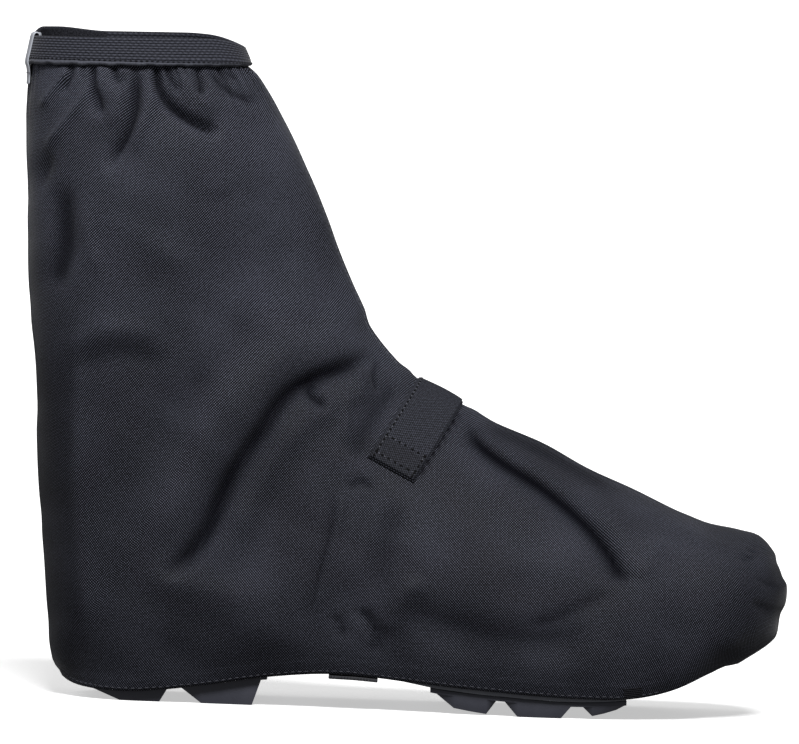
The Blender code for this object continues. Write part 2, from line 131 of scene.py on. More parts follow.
def section_at(row):
    """The section at a row number, which may lie between two rows of the table."""
    first = min(int(row), len(SECTIONS) - 2)
    share = row - first
    if share < 1e-9:
        return SECTIONS[first]
    start, end = SECTIONS[first], SECTIONS[first + 1]
    if first == 0:
        before = end._replace(lateral=-end.lateral, medial=-end.medial)
    else:
        before = SECTIONS[first - 1]
    after = SECTIONS[min(first + 2, len(SECTIONS) - 1)]
    values = [
        smooth_between(*numbers, share)
        for numbers in zip(before[1:], start[1:], end[1:], after[1:])
    ]
    return Section(start.name, *values)


def eased(share):
    """0 to 1 with a soft start and end."""
    share = np.clip(share, 0.0, 1.0)
    return share * share * (3 - 2 * share)


def length_along(line):
    """How far along a line of points each of them lies."""
    return np.concatenate([[0.0], np.cumsum(np.linalg.norm(np.diff(line, axis=0), axis=1))])


def read_at(steps, stops, rows):
    """Values between the rows of a table, at steps along its stops."""
    return np.stack([np.interp(steps, stops, column) for column in rows.T], axis=-1)


def unit(vectors):
    """The same directions, each of length 1."""
    return vectors / np.linalg.norm(vectors, axis=-1, keepdims=True)


def even_line(line, count):
    """The same line as a number of evenly spaced points."""
    lengths = length_along(line)
    return read_at(np.linspace(0.0, lengths[-1], count), lengths, line)


def hem_half_width(x, side):
    """Half width of the sole opening, with round ends at heel and toe."""
    if not HEM_REAR_X < x < NOSE_X:
        return 0.0
    for start, end in zip(HEM_WIDTHS, HEM_WIDTHS[1:]):
        if x <= end.x:
            break
    share = eased((x - start.x) / (end.x - start.x))
    column = "lateral" if side == LATERAL else "medial"
    low, high = getattr(start, column), getattr(end, column)
    from_heel = min((x - HEM_REAR_X) / HEEL_ROUND, 1.0)
    from_toe = min((NOSE_X - x) / TOE_ROUND, 1.0)
    round_ends = math.sqrt((1 - (1 - from_heel) ** 2) * (1 - (1 - from_toe) ** 2))
    return (low + (high - low) * share) * round_ends


def axis_y(x):
    """The foot's middle line, which swings inwards at the toe."""
    share = max(0.0, (x - SWING_START) / (NOSE_X - SWING_START))
    return TOE_SWING * share**1.5


def widest(section, side):
    return section.lateral if side == LATERAL else section.medial


def tuck_of(section, side):
    """How much the upper draws in from its widest line to the hem."""
    wide = widest(section, side)
    hem = hem_half_width(section.base_x, side) / wide if wide > 0 else NOSE_HEM_SHARE
    return 1 - min(hem, 0.995) ** HEM_POWER


def wide_share(section, side):
    """Where the widest line lies from base to ridge."""
    return section.wide_at * tuck_of(section, side) ** (1 / HEM_POWER)


def half_width(section, side, shares):
    """Half widths of a section at shares of the way from its base to its ridge."""
    wide, at, tuck = widest(section, side), wide_share(section, side), tuck_of(section, side)
    down = np.clip((at - shares) / at, 0.0, 1.0)
    low = np.maximum(0.0, 1 - tuck * down**HEM_POWER) ** (1 / HEM_POWER)
    up = np.clip((shares - at) / (1 - at), 0.0, 1.0)
    high = np.maximum(0.0, 1 - up**section.power) ** (1 / section.power)
    return wide * np.where(shares < at, low, high)


def skin_points(section, side, shares):
    """Points on the outside of the upper, in millimetres."""
    run, rise = section.ridge_x - section.base_x, section.ridge_z - section.base_z
    push = 4 * section.bow * shares * (1 - shares) / math.hypot(run, rise)
    y = axis_y(section.base_x) + side * half_width(section, side, shares)
    x = section.base_x + shares * run + push * rise
    z = section.base_z + shares * rise - push * run
    return np.stack([x, y, z], axis=-1)


FINE_SHARES = 0.5 - 0.5 * np.cos(np.linspace(0.0, np.pi, 401))
TREAD_REAR, ARCH_STRAP_FRONT = 17.0, 138.0
SHIFT = np.array(
    [
        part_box("heel_tread")[0].x - TREAD_REAR * MM,
        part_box("arch_strap")[0].y + hem_half_width(ARCH_STRAP_FRONT, LATERAL) * MM,
        0.0,
    ]
)
print("heel to frame", SHIFT.round(6))


# %% [markdown]
# ## Camera first
# The photo was taken from far away with a long lens, square to the outer side and a little
# above it, so verticals hardly converge. The camera is set up before any cloth, because
# every fold is judged through it. It is rolled by the two degrees that the shoe leans.

# %% Camera
LENS_MM, SENSOR_MM = 560.0, 36.0
FRAME_WIDTH = 0.3328
LOOK_AT = Vector((-0.0021, -0.02, 0.1403))
CAMERA_RISE, CAMERA_ROLL = math.radians(2.3), math.radians(2.12)

camera_data = bpy.data.cameras.new("photo_camera")
camera_data.lens, camera_data.sensor_width = LENS_MM, SENSOR_MM
camera_data.clip_end = 200.0
camera = bpy.data.objects.new("photo_camera", camera_data)
bpy.context.scene.collection.objects.link(camera)
back = Vector((0, -math.cos(CAMERA_RISE), math.sin(CAMERA_RISE)))
level, rise = Vector((1, 0, 0)), Vector((0, math.sin(CAMERA_RISE), math.cos(CAMERA_RISE)))
right = level * math.cos(CAMERA_ROLL) + rise * math.sin(CAMERA_ROLL)
up = rise * math.cos(CAMERA_ROLL) - level * math.sin(CAMERA_ROLL)
turned = Matrix((right, up, back)).transposed().to_4x4()
distance = FRAME_WIDTH * LENS_MM / SENSOR_MM
camera.matrix_world = Matrix.Translation(LOOK_AT + back * distance) @ turned
bpy.context.scene.camera = camera
print("camera stands off", round(distance, 2), "m")

# %% [markdown]
# ## Studio
# A pale floor runs far back, so it fills the frame as the white paper of a studio does.
# Three wide suns act as soft boxes at a distance: they light the whole floor evenly, which
# a near lamp can't. The main one comes from above the camera and shows the folds, and two
# weaker ones edge the heel and the shin. The paper glows a little, as a light table does,
# so shadows stay faint, but it throws no light back on the shoe, because dark cloth lit
# from below looks flat.

# %% Floor and light
FLOOR_HALF = 70.0
floor_mesh = bpy.data.meshes.new("studio_floor")
corners = [(-1, -1), (1, -1), (1, 1), (-1, 1)]
floor_points = [(FLOOR_HALF * x, FLOOR_HALF * y, 0.0) for x, y in corners]
floor_mesh.from_pydata(floor_points, [], [(0, 1, 2, 3)])
studio_floor = bpy.data.objects.new("studio_floor", floor_mesh)
bpy.context.scene.collection.objects.link(studio_floor)
paper = bpy.data.materials.new("studio_paper")
paper.use_nodes = True
paper_shader = paper.node_tree.nodes["Principled BSDF"]
paper_shader.inputs["Base Color"].default_value = (0.9, 0.9, 0.9, 1.0)
paper_shader.inputs["Roughness"].default_value = 0.9
paper_shader.inputs["Emission Color"].default_value = (1.0, 1.0, 1.0, 1.0)
paper_shader.inputs["Emission Strength"].default_value = 0.5
floor_mesh.materials.append(paper)
studio_floor.visible_diffuse = False
studio_floor.visible_glossy = False

SoftBox = namedtuple("SoftBox", "name strength spread bearing height")
SOFT_BOXES = [
    SoftBox("main_light", 3.5, 18.0, 8.0, 50.0),
    SoftBox("heel_light", 0.6, 40.0, -95.0, 40.0),
    SoftBox("toe_light", 0.12, 40.0, 110.0, 42.0),
]
for soft_box in SOFT_BOXES:
    lamp = bpy.data.lights.new(soft_box.name, "SUN")
    lamp.energy = soft_box.strength
    lamp.angle = math.radians(soft_box.spread)
    light = bpy.data.objects.new(soft_box.name, lamp)
    bearing, height = math.radians(soft_box.bearing), math.radians(soft_box.height)
    flat = math.cos(height)
    towards = Vector((math.sin(bearing) * flat, -math.cos(bearing) * flat, math.sin(height)))
    light.rotation_mode = "QUATERNION"
    light.rotation_quaternion = towards.to_track_quat("Z", "Y")
    bpy.context.scene.collection.objects.link(light)
world = bpy.data.worlds.new("studio_world")
world.use_nodes = True
sky = world.node_tree.nodes["Background"]
sky.inputs["Color"].default_value = (1.0, 1.0, 1.0, 1.0)
sky.inputs["Strength"].default_value = 0.17
bpy.context.scene.world = world
bpy.context.scene.view_settings.view_transform = "Standard"
print("lights", [soft_box.name for soft_box in SOFT_BOXES])


# %% [markdown]
# ## Helpers for materials and meshes
# Every finish below is a small node tree on a Principled shader. One helper adds a node
# with its settings and links, which keeps each finish readable as a recipe.

# %% Node helper
def add_node(tree, kind, inputs=None, **settings):
    """Adds a node; an input is either a constant or the output socket to link."""
    made = tree.nodes.new(kind)
    for name, value in settings.items():
        setattr(made, name, value)
    for key, value in (inputs or {}).items():
        if isinstance(value, bpy.types.NodeSocket):
            tree.links.new(value, made.inputs[key])
        else:
            made.inputs[key].default_value = value
    return made


def math_node(tree, operation, first, second=0.0):
    return add_node(tree, "ShaderNodeMath", {0: first, 1: second}, operation=operation).outputs[0]


def times(tree, first, second):
    return math_node(tree, "MULTIPLY", first, second)


def plus(tree, first, second):
    return math_node(tree, "ADD", first, second)


def new_finish(name, roughness, **constants):
    """A material, its tree and its shader, with constants set on the shader's sockets."""
    finish = bpy.data.materials.new(name)
    finish.use_nodes = True
    shader = finish.node_tree.nodes["Principled BSDF"]
    shader.inputs["Roughness"].default_value = roughness
    for socket, value in constants.items():
        shader.inputs[socket.replace("_", " ")].default_value = value
    return finish, finish.node_tree, shader


def wave(tree, value, pitch):
    """Sine of a length in metres, one wave to each pitch in millimetres."""
    return math_node(tree, "SINE", times(tree, value, 2 * math.pi / (pitch * MM)))


def colour_mix(tree, factor, dark, light):
    """A colour between two, by a factor from 0 to 1."""
    mix = add_node(tree, "ShaderNodeMix", {0: factor}, data_type="RGBA")
    mix.inputs[6].default_value = (*dark, 1.0)
    mix.inputs[7].default_value = (*light, 1.0)
    return mix.outputs[2]


def paint(tree, shader, factor, dark, light):
    """Colours a finish between two tones."""
    tree.links.new(colour_mix(tree, factor, dark, light), shader.inputs["Base Color"])


def spread(tree, value, low, high, new_low, new_high):
    """Stretches a range of values onto another."""
    inputs = {0: value, 1: low, 2: high, 3: new_low, 4: new_high}
    return add_node(tree, "ShaderNodeMapRange", inputs).outputs[0]


def noise(tree, vector, scale, detail=2.0, roughness=0.5):
    inputs = {"Vector": vector, "Scale": scale, "Detail": detail, "Roughness": roughness}
    return add_node(tree, "ShaderNodeTexNoise", inputs).outputs["Fac"]


def noise_range(tree, value, low, high):
    """Stretches noise, which keeps near its middle, onto a range."""
    return spread(tree, value, 0.3, 0.7, low, high)


def bump(tree, shader, height, depth):
    """Relief of a real depth in millimetres for a height from 0 to 1."""
    inputs = {"Height": height, "Strength": 1.0, "Distance": depth * MM}
    relief = add_node(tree, "ShaderNodeBump", inputs)
    tree.links.new(relief.outputs[0], shader.inputs["Normal"])


def place(tree, uv=False):
    """Where the pattern is read: the piece's own flat cut, or its place in the frame."""
    if uv:
        return add_node(tree, "ShaderNodeUVMap", uv_map="cut").outputs[0]
    return add_node(tree, "ShaderNodeTexCoord").outputs["Object"]


def split(tree, where):
    """The first two coordinates of a place, in metres."""
    return add_node(tree, "ShaderNodeSeparateXYZ", {0: where}).outputs[:2]


print("material helpers ready")


# %% Mesh helper
def finish_piece(name, mesh, finishes, replaced=()):
    """Links a plain mesh as a piece that rides with the shoe."""
    for finish in finishes:
        mesh.materials.append(finish)
    mesh.shade_smooth()
    piece = bpy.data.objects.new(name, mesh)
    bpy.context.scene.collection.objects.link(piece)
    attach(piece, "root")
    if replaced:
        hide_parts(*replaced)
    print(name, "triangles", sum(len(face.vertices) - 2 for face in mesh.polygons))
    return piece


def plain_mesh(source, name):
    """The evaluated mesh of an object as data of its own; the object goes."""
    graph = bpy.context.evaluated_depsgraph_get()
    mesh = bpy.data.meshes.new_from_object(source.evaluated_get(graph))
    mesh.name = name
    bpy.data.objects.remove(source, do_unlink=True)
    return mesh


def write_uv(mesh, corner_uv):
    """Stores a flat place in metres for every face corner."""
    layer = mesh.uv_layers.new(name="cut")
    layer.data.foreach_set("uv", np.asarray(corner_uv, np.float32).ravel())


def scratch_object(name, mesh):
    made = bpy.data.objects.new(name, mesh)
    bpy.context.scene.collection.objects.link(made)
    return made


print("mesh helpers ready")

# %% [markdown]
# ## Shell cloth
# The shell is a plain weave of dark nylon. Seen from a step away, its over and under
# threads make fine crossing diagonals. Two sets of sine lines, mixed and sharpened into
# crests, give that chequer, read on the flat cut of each side panel so that it follows
# the cloth and not the room. Low noise adds the uneven dye and the slightly rubbed look
# of coated cloth.

# %% Shell and lining finish
# Turns of the weave to the millimetre, along and up the cloth.
WEAVE_ALONG, WEAVE_UP = 0.905, 0.853
GRAIN_TURN = math.radians(3.5)
CREST_POWER = 8.0
FAINT_GLOSS = 0.14
CLOTH_DARK, CLOTH_LIGHT = (0.001, 0.001, 0.002), (0.240, 0.254, 0.338)


def weave_lines(tree, flat_x, flat_y, turn):
    """Fine parallel lines on the flat cut, turned by an angle."""
    along = WEAVE_ALONG * math.cos(turn) - WEAVE_UP * math.sin(turn)
    up = WEAVE_ALONG * math.sin(turn) + WEAVE_UP * math.cos(turn)
    return wave(tree, plus(tree, flat_x, times(tree, flat_y, up / along)), 1 / along)


shell_finish, tree, shader = new_finish("shell_weave", 0.72, Sheen_Roughness=0.3)
cut = place(tree, uv=True)
flat_x, flat_y = split(tree, cut)
rising = weave_lines(tree, flat_x, flat_y, math.radians(-90) + GRAIN_TURN)
falling = weave_lines(tree, flat_x, flat_y, -GRAIN_TURN)
# The rising lines lead on the shaft and the falling ones on the foot, in soft patches.
by_height = spread(tree, flat_y, 0.07, 0.15, 0.3, 0.85)
patchy = noise(tree, cut, 18.0, detail=1.0)
rising_share = plus(tree, by_height, noise_range(tree, patchy, -0.15, 0.15))
falling_share = math_node(tree, "SUBTRACT", 1.1, rising_share)
lines = plus(tree, times(tree, rising, rising_share), times(tree, falling, falling_share))
yarn = noise(tree, cut, 900.0, detail=1.0)
cloud = noise(tree, cut, 26.0, detail=3.0)
crest = math_node(tree, "POWER", spread(tree, lines, -0.95, 0.95, 0.0, 1.0), CREST_POWER)
tone = times(tree, crest, noise_range(tree, yarn, 0.65, 1.35))
tone = plus(tree, tone, noise_range(tree, cloud, -0.05, 0.05))
# Painted shade: the colour darkens towards the hem, as the light falls off lower down.
tone = times(tree, tone, spread(tree, flat_y, 0.02, 0.22, 0.55, 1.0))
# Painted shade: colour, gloss and sheen all fade with the lit attribute in the creases, where less of the
# light comes in.
lit_share = add_node(tree, "ShaderNodeAttribute", attribute_name="lit").outputs["Fac"]
paint(tree, shader, times(tree, tone, lit_share), CLOTH_DARK, CLOTH_LIGHT)
tree.links.new(noise_range(tree, cloud, 0.66, 0.78), shader.inputs["Roughness"])
faint_gloss = times(tree, lit_share, FAINT_GLOSS)
for socket in ("Specular IOR Level", "Sheen Weight"):
    tree.links.new(faint_gloss, shader.inputs[socket])
bump(tree, shader, lines, 0.03)

lining_finish, tree, shader = new_finish("shell_lining", 0.45)
cut = place(tree, uv=True)
paint(tree, shader, noise(tree, cut, 60.0, detail=3.0), (0.016, 0.017, 0.02), (0.034, 0.035, 0.04))
bump(tree, shader, noise(tree, cut, 700.0), 0.05)
print("finishes", shell_finish.name, lining_finish.name)

# %% [markdown]
# ## Creases of the upper
# Cloth this stiff holds broad folds: a deep one where the ankle bends, a long hollow from
# the strap to the toe, gathers under the elastic. Each is one row of a table in the shoe's
# own side view: which side it is on, how deep (minus) or high (plus) it is, how much shade
# is painted into the cloth along it, how wide it is to the left and right of its run, how
# round its edge is (1 a sharp crease, 2 a soft swell, more a flat band), how long it fades,
# and the few points that it passes. A simulation would place such folds by chance, so they
# are drawn and worked out as soft profiles.

# %% Table of creases
BOTH = 0
Crease = namedtuple("Crease", "name side lift shade left right edge fade points")
ANKLE_VALLEY = [(136, 149), (121, 142), (109, 137), (100, 132), (93, 125), (86, 113), (76, 97), (70, 83),
                (65, 70), (55, 57), (46, 50)]
ANKLE_SLOPE = [(78, 100), (71, 85), (66, 72), (58, 61)]
ANKLE_BULGE = [(136, 137), (118, 128), (103, 117), (92, 103), (84, 87), (76, 68), (64, 52)]
ANKLE_OVERHANG = [(128, 165), (110, 153), (94, 145), (80, 132), (69, 114), (61, 95), (52, 74), (44, 58)]
TOE_HOLLOW = [(170, 121), (178, 112), (188, 104.5), (205, 94), (222, 81), (232, 69), (237, 61), (244, 56)]
TOE_RIDGE = [(178, 118), (193, 108), (210, 97), (227, 85), (238, 73), (244, 63)]
BALL_HOLLOW = [(146, 48), (156, 40), (171, 34), (192, 30), (212, 32), (226, 40)]
VAMP_CREST = [(164, 130), (176, 125), (191, 118), (212, 109), (235, 98), (256, 90), (273, 84),
              (286, 80), (300, 74)]
BACK_STRIP = [(-7, 168), (-8, 140), (-7, 112), (-6, 83), (-2, 45), (5, 4)]
CREASE_ROWS = [
    ("ankle_valley", BOTH, -5, 0.62, 2.7, 3.6, 1.7, 18, ANKLE_VALLEY),
    ("ankle_core", BOTH, -0.8, 0.55, 1.7, 2.2, 1.7, 26, ANKLE_VALLEY),
    ("ankle_slope", BOTH, -1.2, 0.25, 2.6, 8, 1.7, 12, ANKLE_SLOPE),
    ("ankle_bulge", BOTH, 3.4, 0, 7, 13, 1.8, 34, ANKLE_BULGE),
    ("ankle_overhang", BOTH, 1.6, 0, 10, 9, 1.8, 34, ANKLE_OVERHANG),
    ("shaft_ridge", LATERAL, 1.6, 0, 8, 5, 1.5, 25, [(75, 146), (66, 122), (57, 97), (48, 74), (42, 58)]),
    ("throat_nick", LATERAL, -2.4, 0.75, 1.8, 2.2, 1.5, 3,
     [(109, 135), (105, 131), (108, 127), (113, 125)]),
    ("throat_fold", LATERAL, -1.8, 0.5, 2.2, 1.8, 1.5, 4, [(135, 147), (132, 139), (134, 131)]),
    ("throat_swell", LATERAL, 1.5, 0, 3, 3, 1.6, 5, [(124, 143), (126, 134), (128, 125)]),
    ("strap_side", LATERAL, -1.6, 0.45, 5, 4, 1.8, 8, [(142, 138), (135, 126), (128, 112), (126, 101)]),
    ("strap_lip", LATERAL, 1.2, 0, 2.4, 2, 1.5, 6, [(121, 133), (121, 121), (120, 108)]),
    # Painted shadow that the strap casts on the cloth beside its right edge.
    ("strap_edge_shadow", LATERAL, 0, 0.95, 1.3, 1.3, 2, 6, [(168.6, 126.3), (159.6, 111.3), (149.6, 94.8)]),
    ("throat_dent", BOTH, -1.6, 0, 7, 7, 2, 9, [(124, 165), (134, 152), (147, 139)]),
    ("toe_hollow", BOTH, -1.6, 0.78, 2.6, 5, 1.7, 10, TOE_HOLLOW),
    ("toe_core", BOTH, -0.3, 0.62, 1.8, 3, 1.7, 16, TOE_HOLLOW),
    ("toe_ridge", BOTH, 1.4, 0, 6, 4.5, 1.7, 14, TOE_RIDGE),
    ("toe_fork", LATERAL, 1.3, 0, 3, 2.4, 1.4, 6, [(245, 57), (250, 67), (258, 74)]),
    ("toe_arc", LATERAL, -1.4, 0.3, 3, 3.4, 1.5, 9, [(198, 36), (214, 42), (235, 54)]),
    # Painted shade along the top of the vamp, where the cloth turns from the light.
    ("vamp_top_shade", BOTH, 0, 0.42, 4.5, 5, 2, 16, [(174, 123), (190, 116), (206, 109), (224, 101), (240, 94)]),
    ("mid_line", LATERAL, 1.6, 0, 1.8, 2.6, 1.4, 10, [(120.5, 92), (119, 74), (115, 55), (111, 38)]),
    ("mid_crease", LATERAL, -1.4, 0.4, 1.5, 2.2, 1.4, 12,
     [(117.5, 92), (116, 74), (112, 55), (108, 40), (107, 32)]),
    ("mid_nick", LATERAL, -1.2, 0.5, 1.6, 1.6, 1.5, 3, [(122, 91), (129, 94), (132, 90)]),
    ("mid_swell", LATERAL, 1.6, 0, 6, 5, 1.7, 18, [(140, 96), (134, 82), (127, 62), (122, 44)]),
    ("mid_hollow", LATERAL, -1.6, 0.25, 4, 5, 1.7, 14, [(146, 88), (141, 72), (137, 56), (134, 44)]),
    ("arch_edge", LATERAL, 2.2, 0, 5, 3, 1.4, 8, [(156, 56), (148, 48), (143, 40), (140, 30)]),
    ("arch_crease", LATERAL, -2.2, 0.62, 2, 1.8, 1.5, 5, [(129, 42), (135, 35), (137, 28), (134, 22)]),
    ("arch_nick", LATERAL, -1.4, 0.45, 1.8, 1.8, 1.5, 5, [(118, 40), (122, 34), (124, 27)]),
    ("ball_hollow", LATERAL, -3, 0.2, 8, 9, 1.8, 16, BALL_HOLLOW),
    ("ball_swell", LATERAL, 1.6, 0, 9, 9, 1.8, 20, [(172, 60), (190, 62), (208, 62), (226, 58)]),
    ("side_belly", BOTH, 2.2, 0, 9, 9, 1.8, 22, [(34, 56), (50, 50), (71, 46), (96, 40)]),
    ("heel_edge", BOTH, 1.4, 0, 4, 10, 1.5, 30, [(8, 140), (9, 112), (11, 83), (15, 45), (20, 14)]),
    # Painted shade down the back of the heel, over a slight dip.
    ("heel_strip_shade", BOTH, -0.4, 0.36, 16, 16, 12, 34, BACK_STRIP),
    # Painted shade low along the side, from the heel to the middle of the foot.
    ("heel_low_shade", BOTH, 0, 0.22, 17, 15, 3, 20, [(8, 22), (30, 21), (60, 21), (90, 20), (118, 16)]),
    ("back_fold", BOTH, -2.4, 0.66, 5.5, 5.5, 2.4, 10,
     [(-1, 215), (0.5, 199), (1.5, 186), (-1, 176), (-4, 168)]),
    ("back_line", LATERAL, 1.2, 0, 2.2, 4, 1.4, 10, [(9, 204), (12, 190), (18, 174)]),
    ("back_ridge", LATERAL, 1.3, 0, 4, 4, 1.6, 10, [(2, 144), (14, 151), (28, 154), (44, 151)]),
    ("back_dip", LATERAL, -1.5, 0.25, 4, 5, 1.6, 12, [(4, 136), (18, 142), (30, 144), (48, 140)]),
    ("shaft_dip", LATERAL, -1.2, 0.1, 9, 9, 1.8, 16, [(46, 134), (62, 131), (74, 129)]),
    ("shaft_brush", LATERAL, -0.9, 0.2, 3, 5, 1.5, 14, [(56, 206), (66, 210), (78, 216)]),
    ("shaft_slack", LATERAL, 1, 0, 5, 5, 1.7, 16, [(30, 196), (42, 186), (60, 180)]),
    ("vamp_crest", BOTH, -1.9, 0, 11, 11, 2, 24, VAMP_CREST),
    ("toe_crest", BOTH, -1.2, 0, 8, 8, 2, 14, [(264, 87), (284, 81), (299, 75)]),
    ("toe_front", BOTH, -1.4, 0, 5, 5, 2, 5, [(303, 70), (307, 62), (308, 56)]),
    ("toe_chin", BOTH, 3, 0, 9, 9, 2, 10, [(280, 23), (292, 28), (300, 34), (305, 39), (307, 45)]),
    # Painted shade on the nose, which dims its bright edge.
    ("nose_shade", BOTH, 0, 0.45, 8, 8, 2, 8, [(302, 70), (306, 58), (306, 44), (303, 37)]),
    ("toe_pucker", BOTH, -1, 0.5, 1.8, 1.8, 1.3, 4, [(292, 50), (298, 48), (304, 45)]),
    ("toe_notch", BOTH, -0.8, 0.3, 1.8, 1.8, 1.3, 4, [(295, 60), (301, 57), (305, 56)]),
    ("toe_fold", BOTH, -1.2, 0.4, 1.6, 2, 1.3, 5, [(286, 66), (292, 70), (295, 76)]),
]
CREASES = [Crease(*row) for row in CREASE_ROWS]
print("creases", len(CREASES))

# %% Table of collar gathers
GATHER_LONG = [(28, 265), (29, 255), (29, 245), (26, 234), (20, 224), (17, 218)]
GATHER_DEEP = [(37, 265), (38, 256), (42, 249), (49, 243), (57, 239), (66, 236)]
GATHER_ROWS = [
    ("gather_streak", BOTH, 2.4, 0, 3, 2.4, 1.3, 10, [(13, 260), (6, 247), (-2, 236), (-9, 226)]),
    ("gather_edge", BOTH, 1.6, 0, 2, 2, 1.3, 6, [(2, 262), (-5, 253), (-12, 244)]),
    ("gather_dent", BOTH, -2.2, 0.35, 3, 4, 1.6, 8, [(-5, 227), (-8, 219), (-12, 210)]),
    ("gather_heel", BOTH, -1.8, 0.5, 1.4, 1.7, 1.4, 5, [(3, 265), (1, 257), (-3, 250)]),
    ("gather_nick", BOTH, -3.2, 0.7, 1.6, 2.6, 1.5, 7, [(10, 265), (11, 256), (14, 247), (15, 240)]),
    ("gather_left", BOTH, -2.2, 0.6, 1.5, 1.7, 1.4, 4, [(19, 265), (21, 257), (24, 260)]),
    ("gather_roll", BOTH, 2.2, 0, 3.5, 3, 1.5, 9, [(20, 258), (21, 248), (20, 236)]),
    ("gather_long", BOTH, -4.2, 0.75, 1.8, 3, 1.5, 12, GATHER_LONG),
    ("gather_puff", BOTH, 2.4, 0, 4, 4, 1.6, 10, [(34, 262), (35, 250), (31, 238), (25, 226)]),
    ("gather_deep", BOTH, -5.2, 0.85, 2.4, 1.9, 1.5, 8, GATHER_DEEP),
    ("gather_fold", BOTH, 2.6, 0, 4, 3, 1.5, 10, [(45, 262), (49, 255), (56, 249), (65, 244)]),
    ("gather_short", BOTH, -2.4, 0.6, 1.4, 1.7, 1.4, 5, [(42, 265), (44, 258), (48, 252)]),
    ("gather_front", BOTH, -2.8, 0.7, 1.6, 2, 1.4, 5, [(53, 265), (56, 258), (55, 250)]),
    ("gather_shin", BOTH, -1.4, 0.6, 1.8, 2.2, 1.6, 8,
     [(57, 265), (62, 260.4), (66, 256.4), (72, 253), (78, 251), (82, 249)]),
    ("gather_brow", BOTH, -0.9, 0.5, 1.6, 1.8, 1.6, 5, [(60, 264.5), (65, 262.6), (68, 261.3), (73, 260)]),
]
GATHERS = [Crease(*row) for row in GATHER_ROWS]
print("gathers", len(GATHERS))


# %% Work out the creases
def smooth_run(points, steps=6):
    """A soft line through a few points."""
    ends = [points[0], *points, points[-1]]
    run = []
    for before, start, end, after in zip(ends, ends[1:], ends[2:], ends[3:]):
        for step in range(steps):
            share = step / steps
            run.append([smooth_between(*numbers, share) for numbers in zip(before, start, end, after)])
    return np.array([*run, points[-1]], float)


def crease_profile(crease, flat):
    """Share of a crease's full lift at points of the side view, from 0 to 1."""
    run = smooth_run(crease.points)
    lengths = length_along(run)
    nearest = np.full(len(flat), 1e9)
    signed, along = np.zeros(len(flat)), np.zeros(len(flat))
    for start, end, walked in zip(run, run[1:], lengths):
        step = end - start
        length = np.linalg.norm(step)
        reach = np.clip((flat - start) @ step / length**2, 0.0, 1.0)
        offset = flat - start - reach[:, None] * step
        gap = np.linalg.norm(offset, axis=1)
        closer = gap < nearest
        turn = step[0] * offset[:, 1] - step[1] * offset[:, 0]
        nearest = np.where(closer, gap, nearest)
        signed = np.where(closer, np.sign(turn), signed)
        along = np.where(closer, walked + reach * length, along)
    width = np.where(signed > 0, crease.left, crease.right)
    ends = np.minimum(along, lengths[-1] - along)
    return np.exp(-((nearest / width) ** crease.edge)) * eased(ends / crease.fade + 0.05)


print("deepest crease", min(CREASES, key=lambda crease: crease.lift).name)


# %% [markdown]
# ## The shell
# A sheet is laid over the sections, finer than in the solid, and each of its points moves
# along the sheet's own normal by the sum of all creases. The two side panels share points
# at the front and back seams and at the toe, so no gap opens. Solidify then gives the
# cloth its wall, with the coated lining on the inside.

# %% Lay the sheet
OUTER_COLUMNS, INNER_COLUMNS = 144, 72
RIDGE = OUTER_COLUMNS
FOOT_STEP, SHAFT_STEP, COLLAR_STEP = 2.7, 3.6, 1.5
SLING_COLUMNS = 26


def shell_row_numbers():
    """Row numbers of the sheet from the nose to the top edge under the band."""
    numbers = []
    for row in range(ROW["nose"], ROW["upper_top"]):
        start, end = SECTIONS[row], SECTIONS[row + 1]
        low = math.hypot(end.base_x - start.base_x, end.base_z - start.base_z)
        high = math.hypot(end.ridge_x - start.ridge_x, end.ridge_z - start.ridge_z)
        step = FOOT_STEP if row < ROW["heel_top"] else SHAFT_STEP
        step = COLLAR_STEP if row >= ROW["gather"] else step
        count = max(2, round(max(low, high) / step))
        numbers += [row + share / count for share in range(count)]
    return np.array([*numbers, ROW["upper_top"]], float)


def even_arm(section, side, columns):
    """Points from base to ridge at even steps of the cloth."""
    return even_line(skin_points(section, side, FINE_SHARES), columns + 1)


row_numbers = shell_row_numbers()
sheet = []
for row in row_numbers:
    outer_arm = even_arm(section_at(row), LATERAL, OUTER_COLUMNS)
    inner_arm = even_arm(section_at(row), MEDIAL, INNER_COLUMNS)
    sheet.append(np.vstack([outer_arm, inner_arm[-2::-1]]))
sheet = np.array(sheet)
ROWS, COLUMNS = sheet.shape[:2]
print("sheet", ROWS, "rows by", COLUMNS, "columns")

# %% Soften the heel
HEEL_PASSES = 10
heel_share = eased((row_numbers - ROW["ankle"]) / 1.5)
heel_share *= eased((ROW["heel"] + 1 - row_numbers) / 1.5)
hem_row = row_numbers < ROW["heel_end"] + 1e-6
for _ in range(HEEL_PASSES):
    calm = sheet.copy()
    calm[1:-1] = 0.25 * sheet[:-2] + 0.5 * sheet[1:-1] + 0.25 * sheet[2:]
    weight = np.repeat(heel_share[:, None], COLUMNS, axis=1)
    weight[hem_row, 0] = weight[hem_row, -1] = 0.0
    sheet += weight[:, :, None] * (calm - sheet)
print("heel rows eased", int((heel_share > 0).sum()))

# %% [markdown]
# The weave needs a flat place for every point. A pattern cutter would lay each side panel
# on the table until it lies without strain, and so does this cell: springs between points
# of a coarse net start from rows rolled out straight and settle at their lengths on the
# shoe. A start from the plain side view would be crowded at the toe and fold over.

# %% Lay the panels flat
NET_ROWS, NET_COLUMNS = 61, 25
SETTLE_STEPS, SPRING, SWING = 900, 0.08, 0.9
EDGE_STRIP = NET_COLUMNS - 4


